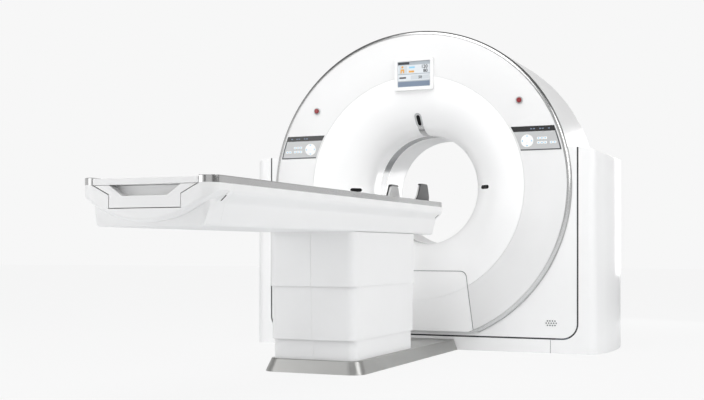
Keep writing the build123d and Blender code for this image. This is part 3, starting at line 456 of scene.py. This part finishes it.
def sector(name, grow, y0, y1, r0=708, r1=946, z0=1207, z1=1352):
    """A panel that follows the ring, cut level above and below."""
    piece = lathe(name, [(r0 - grow, y0), (r1 + grow, y0), (r1 + grow, y1), (r0 - grow, y1)])
    return join_cut(piece, box("cutter", 100, 1100, y0 - 5, y1 + 5, z0 - grow, z1 + grow),
                    "INTERSECT")


flat = box("flat", -1200, 1200, -600, 600, -10, 113)
ring_profile = [(697.8, -346), (697.8, -358.6), (698.6, -359.7), (700, -360), (951, -360),
                (952.6, -359.6), (953.2, -358.4), (953.2, -346), (948.2, -346), (948.2, -355),
                (702.8, -355), (702.8, -346)]
ring_cover = lathe("ring_cover", ring_profile)
for cutter in (service_prism("cutter", 4), sector("right_cut", 0.5, -370, -330)):
    join_cut(ring_cover, cutter)
left_cut = mirror_copy(sector("left_cut_a", 0.5, -370, -330), "left_cut")
bpy.data.objects.remove(bpy.data.objects["left_cut_a"])
join_cut(ring_cover, left_cut)
join_cut(ring_cover, box("cutter", -120.5, 120.5, -400, -300, 1613.5, 1798.5))
switch_angle, switch_reach = math.radians(37.36), 840.5      # place of the stop switches
for side in (-1, 1):
    spot = (side * switch_reach * math.cos(switch_angle),
            axis_z + switch_reach * math.sin(switch_angle))
    join_cut(ring_cover, lathe("cutter", [(1, -370), (15.8, -370), (15.8, -340), (1, -340)], 40,
                               spot))
join_cut(ring_cover, flat, keep=True)
# The ring takes the greyer copy of the cover paint: painted shade.
dress(tidy(ring_cover), ring_white_shaded, "root", "front_ring_cover")

line, inner = funnel_line(0), funnel_line(wall)
cone_profile = [(697, -358.4), (696.2, -359.6)] + line[1:] + [(350, -50.8), (355, -50.8)] \
    + inner[::-1]
cone = lathe("funnel", cone_profile)
join_cut(cone, service_prism("cutter", 4))
join_cut(cone, box("cutter", -120.5, 120.5, -400, -300, 1613.5, 1798.5))
slots = []
for angle in (90, 0, 180):
    a = math.radians(angle)
    cx, cz = 430 * math.cos(a), axis_z + 430 * math.sin(a)
    long_x, long_z = (31, 12) if angle != 90 else (12, 31)
    slot_cut = drawn("slot", rounded(cx - long_x, cx + long_x, cz - long_z, cz + long_z,
                                     (11.9,) * 4), "xz", -380, -120)
    slots.append(slot_cut)
    join_cut(cone, slot_cut, keep=True)
# The funnel takes the brighter copy of the cover paint: painted light.
dress(tidy(cone), cone_white_lightened, "root", "funnel_cover")

lens_skin = lathe("lens_skin", line[6:] + inner[6:][::-1])
for number, slot_cut in enumerate(slots):
    only(lens_skin)
    bpy.ops.object.duplicate()
    lens = bpy.context.object
    lens.name = f"positioning_lens_{number + 1}"
    join_cut(lens, slot_cut, "INTERSECT")
    dress(tidy(lens), black_lens, "root", "positioning_windows")
bpy.data.objects.remove(lens_skin)

# The seam between ring and funnel goes on over the service panel as a shallow groove.
skin = [(953.2, ring_y), (698.2, ring_y), (697.6, -358.2), (696.4, -358.2), (695.8, ring_y)] \
    + line[1:30] + inner[1:30][::-1] + [(695.8, ring_y + wall), (953.2, ring_y + wall)]
panel = lathe("service_cover", skin)
join_cut(panel, service_prism("cutter", 0), "INTERSECT")
join_cut(panel, flat, keep=True)
# The service panel takes the same brighter copy of the cover paint: painted light.
dress(tidy(panel), cone_white_lightened, "root", "service_panel")

turns = [math.radians(9 * i) for i in range(11)]
band_front = [(954 + 24 * math.sin(a), plate_y - 22 * math.cos(a)) for a in turns]
band = lathe("rim_band", band_front + [(drum_radius, -326), (drum_radius - wall, -326),
                                       (drum_radius - wall, -335), (954, -355)])
join_cut(band, flat, keep=True)
dress(tidy(band), band_metal, "root", "rim_trim")

drum = lathe("drum_arch", [(drum_radius - wall, -325.2), (976.5, -325.2), (drum_radius, -323.6),
                           (drum_radius, 391.8), (976.6, 393.2), (drum_radius - wall, 393.2)])
join_cut(drum, box("cutter", -1100, 1100, -500, 500, -10, 1222.3))
dress(tidy(drum), cover_white, "root", "drum_cover")

band_window = lathe("scan_band", [(bore, -50), (bore, 50), (bore + 3, 50), (bore + 3, -50)])
dress(tidy(band_window), smoked_band, "root", "scan_window")

strip_line, strip_back = funnel_line(-2.5), funnel_line(-0.3)
strip = lathe("strip", strip_line[5:] + [(347.5, -52), (349.7, -52)] + strip_back[5:][::-1])
# The strip runs from the top lens down the cone to the scan window.
shape = drawn("shape", rounded(-19, 19, 1300, 1430, (0, 0, 0, 0)), "xz", -370, -50)
head = drawn("head", rounded(-23, 23, 1388, 1472, (22.9,) * 4, 10), "xz", -371, -49)
surround = lathe("laser_surround", strip_line[3:] + [(347.5, -52), (349.7, -52)]
                 + strip_back[3:][::-1])
join_cut(surround, head, "INTERSECT", keep=True)
join_cut(strip, shape, "INTERSECT")
join_cut(strip, head)
grown = drawn("grown", rounded(-13, 13, 1398, 1462, (12.9,) * 4, 10), "xz", -380, -100)
join_cut(surround, grown)
dress(tidy(strip), strip_metal, "root", "laser_trim")
dress(tidy(surround), collar_grey, "root", "laser_trim")


# Rear, plate and pods

mouth, mouth_back = quarter(470, 340, 120, 112), quarter(470, 340, 115, 107)
turns = [math.radians(7.5 * i) for i in range(13)]
edge, edge_back = [[(920 + radius * math.sin(a), 394 + radius * math.cos(a)) for a in turns]
                   for radius in (58, 58 - wall)]
rear = lathe("rear_shell", [(350, 50.8)] + mouth + edge + edge_back[::-1] + mouth_back[::-1]
             + [(355, 50.8)])
rounding = lathe("rounding", [(919.5, 393), (979, 393), (979, 453), (919.5, 453)])
join_cut(rounding, box("cutter", -1100, 1100, 300, 500, 0, shoulder_z), "INTERSECT")
join_cut(rear, rounding)
plate_back = drawn("rear_plate", rounded(-plate_half, plate_half, 90, shoulder_z, (88, 88, 0, 0)),
                   "xz", 447.2, rear_y)
join_cut(plate_back, lathe("cutter", [(1, 430), (921, 430), (921, 470), (1, 470)]))
dress(tidy(rear), cover_white, "root", "rear_cover")
dress(tidy(plate_back), cover_white, "root", "rear_cover")

plate = drawn("lower_plate", rounded(-plate_half, plate_half, 90, shoulder_z, (88, 88, 0, 0), 12),
              "xz", plate_y, plate_y + wall)
hole = lathe("hole", [(1, -350), (979.5, -350), (979.5, -320), (1, -320)])
join_cut(hole, box("cutter", -1100, 1100, -400, 0, 0, 111.5))
join_cut(plate, hole)
for side in (-1, 1):
    x0, x1 = sorted((side * 940, side * plate_half))
    shoulder = box("shoulder", x0, x1, plate_y, 446, shoulder_z - wall, shoulder_z)
    join_cut(shoulder, lathe("cutter", [(1, -343), (979.5, -343), (979.5, -324), (1, -324)]))
    join_cut(plate, shoulder, "UNION")
grille_x, grille_z, pitch = 855, 178, 15      # speaker grille: three rows of round holes
for row, count in ((-1, 4), (0, 5), (1, 4)):
    for n in range(count):
        x, z = grille_x + (n - (count - 1) / 2) * pitch, grille_z + row * pitch * 0.87
        join_cut(plate, lathe("cutter", [(0.5, -345), (4.6, -345), (4.6, -325), (0.5, -325)],
                              16, (x, z)))
dress(tidy(plate), cover_white, "root", "front_plate")


def pod_plan(outer, count=10):
    """Plan of a side pod: straight inner side, bowed outer side, rounded corners."""
    bulge, radius, depth = 45, 58, rear_y - plate_y
    ends, middle = outer - bulge, (rear_y + plate_y) / 2
    bow = bulge / (depth / 2) ** 2
    spots = [(pod_in, rear_y), (pod_in, plate_y)]
    spots += arc(ends - radius, plate_y + radius, radius, 270, 348, count)
    for i in range(1, 12):
        y = plate_y + radius + (depth - 2 * radius) * i / 12
        spots.append((outer - bow * (y - middle) ** 2, y))
    return spots + arc(ends - radius, rear_y - radius, radius, 12, 90, count)


def side_pod(name):
    """Right-hand pod: a leaning, bowed moulding with a rounded crown and a hand recess."""
    pod = drawn(name, pod_plan(pod_out), "xy", 0, shoulder_z + 10)
    editing(pod)
    choose(pod, lambda x, y, z: z > 1000)
    lean = 4
    bpy.ops.transform.resize(value=((pod_out - lean - pod_in) / (pod_out - pod_in), 1, 1),
                             center_override=(pod_in * mm, 0, (shoulder_z + 10) * mm))
    editing(pod, False)
    crown = [(1000, shoulder_z)]
    for i in range(1, 15):
        run = 204 * i / 14
        crown.append((plate_half + run, shoulder_z - run ** 2 * 0.00182))
    crown += [(1230, 1300), (1000, 1300)]
    join_cut(pod, drawn("cutter", crown, "xz", -400, 500))
    recess = drawn("recess", rounded(276, 436, 957, 1145, (46, 46, 14, 14)), "yz", 1103, 1230)
    join_cut(pod, recess)
    # Its foot turns the corner below the plates, in front and behind.
    for y in (plate_y, rear_y - wall):
        foot = drawn("foot", [(852, 0), (1019, 0), (1019, 175), (pod_in, 178)]
                     + arc(919, 178, 98, 0, -90, 10) + [(852, 80)], "xz", y, y + wall)
        join_cut(pod, foot, "UNION")
    return pod


pod_right = side_pod("pod_right")
bevelled(pod_right, 9, 4, 40)
tidy(pod_right)
pod_left = mirror_copy(pod_right, "pod_left")
dress(pod_right, cover_white, "root", "side_pod_right")
dress(pod_left, cover_white, "root", "side_pod_left")


# A dark sheet just behind the gaps round the front plate: painted shade in those gaps.
shade_sheet = drawn("gap_shade_sheet", rounded(-1016.5, 1016.5, 80.5, 1221, (97.5, 97.5, 0, 0), 12), "xz",
              -332.6, -329)
join_cut(shade_sheet, drawn("cutter", rounded(-1000, 1000, 96, 1240, (82, 82, 0, 0), 12), "xz",
                      -340, -320))
dress(tidy(shade_sheet), painted_gap_shade, "root")


# Display, panels and switches

def flat_box(name, x0, x1, z0, z1, y, material, body="root", slot="display_glass", thick=0.3):
    """A thin printed area on a surface that faces the table."""
    return dress(box(name, x0, x1, y - thick, y, z0, z1), material, body)


bezel = drawn("display_bezel", rounded(-128, 128, 1606, 1806, (12,) * 4), "xz", ring_y - 16,
              ring_y)
join_cut(bezel, drawn("back", rounded(-120, 120, 1614, 1798, (6,) * 4), "xz", ring_y - 1,
                      ring_y + 44), "UNION")
join_cut(bezel, drawn("cutter", rounded(-107, 107, 1629, 1787, (3,) * 4), "xz", ring_y - 20,
                      ring_y - 7))
tidy(bezel)
bevelled(bezel, 3, 3, 50)
dress(tidy(bezel), bezel_white, "root", "display_housing")
screen_y = ring_y - 9
glass = drawn("display_glass", rounded(-106.5, 106.5, 1629.5, 1786.5, (3,) * 4), "xz", screen_y,
              ring_y - 7.2)
dress(tidy(glass), inks["grey"], "root", "display_screen")
under, over = 0.05, 0.4      # how far a screen area lies in front of the glass
for name, x0, x1, z0, z1, ink, lift in (
        ("tab", -104, -30, 1769, 1784, "dark", under),
        ("header", -26, 104, 1769, 1784, "grey", over),
        ("upper", -104, 104, 1712, 1765, "pale", under),
        ("cell", -98, -44, 1714, 1763, "cell", over),
        ("bar_upper", -32, 6, 1744, 1755, "sky", over),
        ("bar_lower", -34, 2, 1718, 1730, "orange", over),
        ("row", -104, 104, 1668, 1706, "pale", under),
        ("mark", -96, -52, 1682, 1692, "dark", over),
        ("field", -20, 98, 1674, 1700, "cell", over),
        ("footer", -104, 104, 1632, 1662, "slate", under)):
    flat_box("screen_" + name, x0, x1, z0, z1, screen_y - lift, inks[ink])
# A plain standing figure, as such screens show for the way the patient lies.
figure = [(-89, 1716), (-87, 1741), (-65, 1741), (-63, 1716), (-71, 1716), (-73, 1730),
          (-79, 1730), (-81, 1716)]
for name, shape in (("head", rounded(-83, -69, 1747, 1761, (6.9,) * 4)), ("body", figure)):
    dress(tidy(drawn("screen_figure_" + name, shape, "xz", screen_y - 1.1, screen_y - 0.8)),
          inks["orange"], "root")
for number, (words, x, z, size) in enumerate((("120", 48, 1742, 22), ("80", 62, 1716, 22),
                                              ("50", 30, 1679, 18))):
    bpy.ops.object.select_all(action="DESELECT")
    bpy.ops.object.text_add(location=(x * mm, (screen_y - 0.9) * mm, z * mm),
                            rotation=(math.radians(90), 0, 0))
    digits = bpy.context.object
    digits.data.body = words
    digits.data.size = size * 1.3 * mm
    digits.data.extrude = 0.0001
    digits.data.offset = 0.0005
    bpy.ops.object.convert(target="MESH")
    dress(start(bpy.context.object, f"screen_digits_{number + 1}"), inks["dark"], "root")


def printed(name, side, material, *sizes, cut=None, **limits):
    """A film printed on a control panel: made on the right, and moved over for the left."""
    film = sector(name if side > 0 else name + "_made", *sizes, **limits)
    if cut:
        join_cut(film, cut)
    if side < 0:
        made, film = film, mirror_copy(film, name)
        bpy.data.objects.remove(made)
    return dress(tidy(film), material, "root")


pad_x, pad_z = 715.5, 1264
key_spots = [(697 + x, z) for z in (1278, 1251) for x in (88, 108.5, 129)]
key_spots += [(697 + x, 1251) for x in (165, 185.5)]
bar_z = 1319           # lower edge of the black status bar
for side, word in ((1, "right"), (-1, "left")):
    printed(f"status_bar_{word}", side, status_black, -0.6, -361.9, -361.4, z0=bar_z)
    inside = sector("inside", 0, -365, -355, r0=600, r1=938, z0=1214, z1=1400)
    printed(f"panel_edge_{word}", side, edge_ink, -0.4, -361.8, -361.4, z1=bar_z, cut=inside)
    for number, x0 in enumerate((735, 752, 790, 806, 842)):
        flat_box(f"status_mark_{word}_{number + 1}", *sorted((side * x0, side * (x0 + 11))),
                 1332, 1338, -362.0, inks["slate"], slot="panel_grey", thick=0.2)
    for number, (dx, dz) in enumerate(((0, 26), (26, 0), (0, -26), (-26, 0))):
        tip = Vector((dx, dz)) / 26
        across = Vector((-tip[1], tip[0]))
        spot = Vector((side * pad_x + dx, pad_z + dz))
        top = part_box(f"direction_pad_{word}")[0][1] / mm
        mark = drawn(f"pad_arrow_{word}_{number + 1}",
                     [spot + tip * 7, spot + across * 7, spot - across * 7], "xz",
                     top - 0.3, top - 0.02)
        dress(mark, inks["sky"], f"direction_pad_{word}")
    for number, (x, z) in enumerate(key_spots):
        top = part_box(f"key_{number + 1}_{word}")[0][1] / mm
        x0, x1 = sorted((side * (x - 4), side * (x + 4)))
        flat_box(f"key_mark_{word}_{number + 1}", x0, x1, z - 3, z + 3, top - 0.02, inks["sky"],
                 f"key_{number + 1}_{word}", "key_white")
    x, z = (side * switch_reach * math.cos(switch_angle),
            axis_z + switch_reach * math.sin(switch_angle))
    collar = lathe(f"stop_collar_{word}", [(15.6, -359), (15.6, -366.5), (16.6, -368),
                                           (20.2, -368), (22, -366.2), (22, -359)], 40, (x, z))
    dress(collar, collar_grey, "root")


# Bed and couch top

def bed_section(inset, soft=(26, 22, 16)):
    """Cross-section of the bed below the rail."""
    low = inset * 0.55
    right = [(bed_half - inset, rail_z), (bed_half - inset, 826 + low),
             (261 - inset * 0.9, 791 + low), (239 - inset, 702 + inset)]
    a, b, c = soft
    return curved(both(right), (0, a, b, c, c, b, a, 0))


def channel(gap, top):
    """Free way of the couch top and its end cap."""
    return both([(couch_half + gap, top), (couch_half + gap, rail_z - gap),
                 (159 + gap, 824 - gap), (159 + gap, 772 - gap)])


shell = drawn("bed_skin", bed_section(0), "xz", joint_y + 0.8, head_y)
join_cut(shell, drawn("cutter", bed_section(4), "xz", joint_y - 10, head_y - 4))
join_cut(shell, box("cutter", -296, 296, joint_y - 10, head_y - 4, 832, 870))
join_cut(shell, drawn("cutter", both([(240, 870), (240, 858), (207, 822)]), "xz", -733, -700))
join_cut(shell, drawn("cutter", rounded(-224, 224, table_y - 434, table_y + 434, (42,) * 4), "xy",
                      695, 712))
tidy(shell)
bevelled(shell, 1.6, 2, 50)
dress(tidy(shell), table_white, "bed", "bed_shell")

# A dark sheet inside the joint of foot cover and bed shell: painted shade in that joint.
shade_sheet = drawn("bed_joint_shade_sheet", bed_section(4.4), "xz", joint_y - 8, joint_y + 9)
join_cut(shade_sheet, drawn("cutter", bed_section(8), "xz", joint_y - 20, joint_y + 20))
join_cut(shade_sheet, box("cutter", -300, 300, joint_y - 20, joint_y + 20, 850, 870))
dress(tidy(shade_sheet), painted_gap_shade, "bed")
# Short slots in the slanted side, one near each end, drawn as thin dark strips: painted shade where a
# slot would be dark.
for number, y in enumerate((joint_y - 40, head_y - 32)):
    for side in (-1, 1):
        spots = [(side * x, z) for x, z in ((268, 797.9), (290, 817.6), (290, 816.2),
                                            (268, 796.5))]
        mark = drawn(f"bed_slot_shade_{number + 1}_{'right' if side > 0 else 'left'}",
                     spots if side > 0 else spots[::-1], "xz", y - 4, y + 4)
        dress(tidy(mark), painted_gap_shade, "bed")

lip_z = 717            # lowest point of the lip's curved edge
lip_rise = 117         # how far that edge climbs to the sides
lip_radius = (bed_half ** 2 + lip_rise ** 2) / (2 * lip_rise)
smile = [(-bed_half, rail_z)]
for n in range(49):
    x = -bed_half + 2 * bed_half * n / 48
    smile.append((x, lip_z + lip_radius - math.sqrt(lip_radius ** 2 - x ** 2)))
foot = drawn("foot_end", smile + [(bed_half, rail_z)], "xz", foot_y, joint_y)
soften(foot, lambda x, y, z: y < foot_y + 1 and z < 860, 17, 6)
lower_box = drawn("lower_box", bed_section(0), "xz", foot_y + 34, joint_y)
half_plan = [(311, joint_y + 5), (311, foot_y + 130), (261, foot_y + 78), (261, foot_y + 34)]
corner_plan = drawn("corner_plan", curved(both(half_plan), (0, 0, 30, 28, 28, 30, 0, 0), 10),
                    "xy", 690, 871)
join_cut(lower_box, corner_plan, "INTERSECT")
join_cut(foot, lower_box, "UNION")
plan = drawn("plan", rounded(-bed_half, bed_half, foot_y, joint_y, (60, 60, 0, 0), 14), "xy",
             680, rail_z)
join_cut(foot, plan, "INTERSECT")
hollow = drawn("hollow", bed_section(4), "xz", foot_y + 38, joint_y + 40)
join_cut(hollow, box("cutter", -400, 400, foot_y - 5, foot_y + 68, 791, 900))
join_cut(hollow, drawn("cutter", rounded(-257, 257, foot_y + 38, joint_y + 60, (26, 26, 0, 0), 12),
                       "xy", 680, 900), "INTERSECT")
join_cut(foot, hollow)
join_cut(foot, drawn("cutter", channel(3, 880), "xz", foot_y - 5, joint_y + 40))
tidy(foot)
bevelled(foot, 3.5, 4, 42)
dress(tidy(foot), table_white, "bed", "foot_cover")

rail = drawn("rail_right", curved([(238, foot_y), (bed_half, foot_y), (bed_half, head_y),
                                   (238, head_y)], (0, 60, 8, 0), 14), "xy", rail_z, bed_top)
soften(rail, lambda x, y, z: z > bed_top - 1 and (x > 240 or y < foot_y + 1) and not
       (x < 239 and y > foot_y + 3), 8, 5)
tidy(rail)
rail_left = mirror_copy(rail, "rail_left")
dress(rail, rail_metal, "bed", "side_rails")
dress(rail_left, rail_metal, "bed", "side_rails")


def sagging(x, low, sag):
    """Height of a shallow trough that is lowest in the middle and climbs by its sag."""
    radius = (couch_half ** 2 + sag ** 2) / (2 * sag)
    return low + radius - math.sqrt(radius ** 2 - x ** 2)


cap_y = foot_y + 68    # where the end cap meets the couch top
across = [-couch_half + 2 * couch_half * i / 40 for i in range(41)]
couch = drawn("couch_top_shell", [(x, sagging(x, 868, 17)) for x in across]
              + [(x, sagging(x, 826, 36)) for x in across[::-1]], "xz", cap_y, -700)
for side in (-1, 1):
    x0, x1 = sorted((side * 180, side * 200))
    join_cut(couch, box("runner", x0, x1, cap_y, -712, 830.3, 856), "UNION")
round_end = drawn("round_end", rounded(-235.5, 235.5, foot_y + 60, -700, (0, 0, 72, 72), 14),
                  "xy", 800, 900)
join_cut(couch, round_end, "INTERSECT")
join_cut(couch, box("cutter", -45.3, 45.3, -820, -690, 838, 852.6))
tidy(couch)
bevelled(couch, 2.5, 3, 40)
dress(tidy(couch), couch_top, "couch", "cradle")

slab_z = 859           # the couch top's own edge shows as a slab above the end cap
cap = drawn("couch_end", channel(0, 885), "xz", foot_y, cap_y)
slab = drawn("couch_end_slab", channel(0, 885), "xz", foot_y, cap_y)
join_cut(slab, box("cutter", -300, 300, foot_y - 5, foot_y + 80, 700, slab_z + 0.7))
join_cut(cap, box("cutter", -300, 300, foot_y - 5, foot_y + 80, slab_z - 0.7, 900))
join_cut(cap, drawn("pocket", curved(both([(165, 862), (101, 817)]), (0, 7, 7, 0)), "xz",
                    foot_y - 5, foot_y + 46))
for piece, width in ((cap, 1.6), (slab, 2.2)):
    tidy(piece)
    bevelled(piece, width, 3, 40)
    dress(tidy(piece), table_white, "couch", "cradle_end_cap")


# Head rest

ear_z = 1015           # top of the head rest's two ears
rest_y = (-598, -368)  # foot and head ends of the head rest


def trough(inset, top=ear_z):
    """Cross-section of the head rest: a half circle with upright sides."""
    half = 105 - inset
    return [(half, top)] + arc(0, 951, half, 0, -180, 28) + [(-half, top)]


def ears(name, drop):
    """Side outline of the head rest: low ends and two ears in the middle."""
    near, far = rest_y
    top, low = ear_z - drop, 905 - drop
    return drawn(name, curved([(near, 800), (far, 800), (far, low), (far - 45, top),
                               (near + 69, top), (near, low)], (0, 0, 12, 24, 24, 12), 8), "yz",
                 -200, 200)


holder = drawn("head_shell", trough(0), "xz", *rest_y)
join_cut(holder, drawn("cutter", trough(7, 1030), "xz", -610, -350))
lips = drawn("lips", both([(105, ear_z), (105, ear_z - 10)]), "xz", *rest_y)
join_cut(lips, box("cutter", -86, 86, -600, -360, 1000, 1020))
join_cut(holder, lips, "UNION")
join_cut(holder, ears("ears", 0), "INTERSECT")
join_cut(holder, box("tongue", -45, 45, -819.7, -578, 838.3, 852.3), "UNION")
tidy(holder)
bevelled(holder, 2, 3, 40)
dress(tidy(holder), holder_black, "couch", "head_holder")

foam = drawn("head_foam", trough(7.4, 1004.6), "xz", -592, -374)
join_cut(foam, drawn("cutter", trough(19, 1030), "xz", -610, -350))
join_cut(foam, ears("ears", 10.4), "INTERSECT")
tidy(foam)
bevelled(foam, 3, 3, 40)
dress(tidy(foam), foam_grey, "couch", "head_pad")


# Column and base

def column(name, half_x, half_y, z0, z1, body, node, material=table_white):
    """A nested column cover with a joint line down the middle of each end."""
    def plan(inset):
        return rounded(-half_x + inset, half_x - inset, table_y - half_y + inset,
                       table_y + half_y - inset, (42 - inset,) * 4, 10)
    tube = drawn(name, plan(0), "xy", z0, z1)
    join_cut(tube, drawn("cutter", plan(3), "xy", z0 - 5, z1 + 5))
    for y in (table_y - half_y, table_y + half_y):
        join_cut(tube, box("cutter", -1, 1, y - 1.4, y + 1.4, z0 - 5, z1 + 5))
    tidy(tube)
    bevelled(tube, 0.9, 2, 50)
    return dress(tidy(tube), material, body, node)


column("column_skin_lower", 230, 408, 65, 225, "root", "column_cover_lower")
column("column_skin_middle", 233.5, 426, 165, 483, "middle_cover", "column_cover_middle")
column("column_skin_upper", 237, 437, 431, 702, "bed", "column_cover_upper")

base_half, base_z, slope = 275, 65, 24      # the skirt leans in by its slope at the top
skirt = drawn("base_skin", rounded(-base_half, base_half, -1872, -343, (75, 75, 0, 0), 14), "xy",
              0, base_z)
editing(skirt)
choose(skirt, lambda x, y, z: z > base_z - 5)
bpy.ops.transform.resize(value=((base_half - slope) / base_half, 1, 1),
                         center_override=(0, 0, base_z * mm))
choose(skirt, lambda x, y, z: z > base_z - 5 and y < -1000)
bpy.ops.transform.translate(value=(0, slope * mm, 0))
editing(skirt, False)
inner = drawn("inner", rounded(-240, 240, -1838, -300, (64, 64, 0, 0), 12), "xy", -5, 61)
join_cut(skirt, inner)
join_cut(skirt, box("cutter", -194, 194, table_y - 378, table_y + 378, 50, 80))
tidy(skirt)
bevelled(skirt, 3, 3, 40)
dress(tidy(skirt), base_silver, "root", "base_skirt")


# Studio

def lamp(name, place, aim, size, power):
    """A large soft light looking at a point, in metres."""
    bpy.ops.object.select_all(action="DESELECT")
    bpy.ops.object.light_add(type="AREA", location=place)
    light = bpy.context.object
    light.name = name
    light.rotation_euler = (Vector(aim) - Vector(place)).to_track_quat("-Z", "Y").to_euler()
    light.data.shape = "RECTANGLE"
    light.data.size, light.data.size_y = size
    light.data.energy = power
    return light


lamp("softbox_front", (-3.4, -5.5, 1.9), (-3.4, 0, 1.9), (3.3, 3.8), 55)
lamp("softbox_right", (5.2, -2.2, 3.0), (0.3, -0.6, 0.8), (2.4, 3.2), 85)
lamp("softbox_low", (-0.9, -6.2, 0.9), (-0.1, -3.3, 0.83), (1.6, 0.8), 7)
lamp("softbox_back", (1.0, 3.2, 1.2), (-0.3, 0.2, 1.0), (1.6, 1.6), 26)
lamp("softbox_top", (0.2, -3.2, 5.2), (0, -0.6, 0.8), (4.0, 4.0), 150)

world = bpy.data.worlds.new("studio")
bpy.context.scene.world = world
world.use_nodes = True
tree = world.node_tree
tree.nodes.clear()
path = add(tree, "ShaderNodeLightPath")
clear = add(tree, "ShaderNodeMath", operation="MAXIMUM", i0=path.outputs["Is Camera Ray"],
            i1=path.outputs["Is Transmission Ray"])
seen = add(tree, "ShaderNodeMath", operation="MAXIMUM", i0=clear.outputs[0],
           i1=path.outputs["Is Glossy Ray"])
ambient = add(tree, "ShaderNodeBackground", Color=tint("F5F5F5"), Strength=0.56)
# Bright all round at eye level and grey overhead, so that metal shows dark and bright streaks.
where = add(tree, "ShaderNodeTexCoord").outputs["Generated"]
upward = add(tree, "ShaderNodeSeparateXYZ", Vector=where)
rise = add(tree, "ShaderNodeMapRange", Value=upward.outputs[2], From_Min=0.05, From_Max=0.6)
turn = add(tree, "ShaderNodeMath", operation="MULTIPLY", i0=upward.outputs[0], i1=8.0)
wave = add(tree, "ShaderNodeMath", operation="SINE", i0=turn.outputs[0])
card = add(tree, "ShaderNodeMapRange", Value=wave.outputs[0], From_Min=0.45, From_Max=0.9,
           To_Max=0.8)
shade = add(tree, "ShaderNodeMath", operation="MAXIMUM", i0=rise.outputs[0], i1=card.outputs[0])
above = add(tree, "ShaderNodeMath", operation="MULTIPLY", i0=shade.outputs[0],
            i1=path.outputs["Is Glossy Ray"])
sky = add(tree, "ShaderNodeMix", data_type="RGBA", i0=above.outputs[0], i6=tint("F7F7F7"),
          i7=tint("585858"))
backdrop = add(tree, "ShaderNodeBackground", Color=sky.outputs[2], Strength=1.0)
mix = add(tree, "ShaderNodeMixShader", i0=seen.outputs[0], i1=ambient.outputs[0],
          i2=backdrop.outputs[0])
add(tree, "ShaderNodeOutputWorld", Surface=mix.outputs[0])

bpy.ops.object.select_all(action="DESELECT")
bpy.ops.mesh.primitive_plane_add(size=60, location=(0, 0, -0.0005))
floor = start(bpy.context.object, "studio_floor")
paper = bpy.data.materials.new("studio_paper")
paper.use_nodes = True
tree = paper.node_tree
tree.nodes.clear()
# The camera sees paper of one pale tone; the object is lit by a paper that reflects as usual.
path = add(tree, "ShaderNodeLightPath")
grain = add(tree, "ShaderNodeTexNoise", Vector=add(tree, "ShaderNodeTexCoord").outputs["Object"],
            Scale=40.0)
tone = add(tree, "ShaderNodeMix", data_type="RGBA", i0=grain.outputs[0], i6=tint("EEEFF0"),
           i7=tint("F2F3F4"))
lit = add(tree, "ShaderNodeBsdfDiffuse", Color=tone.outputs[2])
glow = add(tree, "ShaderNodeEmission", Color=tint("F8F8F8"), Strength=1.0)
share = add(tree, "ShaderNodeMath", operation="MULTIPLY", i0=path.outputs["Is Camera Ray"],
            i1=0.95)
mix = add(tree, "ShaderNodeMixShader", i0=share.outputs[0], i1=lit.outputs[0], i2=glow.outputs[0])
add(tree, "ShaderNodeOutputMaterial", Surface=mix.outputs[0])
floor.data.materials.append(paper)

bpy.ops.object.select_all(action="DESELECT")
bpy.ops.object.camera_add(location=(2.3356, -6.753, 0.612),
                          rotation=(math.radians(90), 0, math.radians(23.34)))
camera = bpy.context.object
camera.name = "camera"
camera.data.lens = 55.79
camera.data.sensor_width = 36
camera.data.shift_y = 0.0712
bpy.context.scene.camera = camera

bpy.data.objects.remove(flat)
bpy.context.scene.view_settings.view_transform = "Standard"
bpy.ops.object.select_all(action="DESELECT")
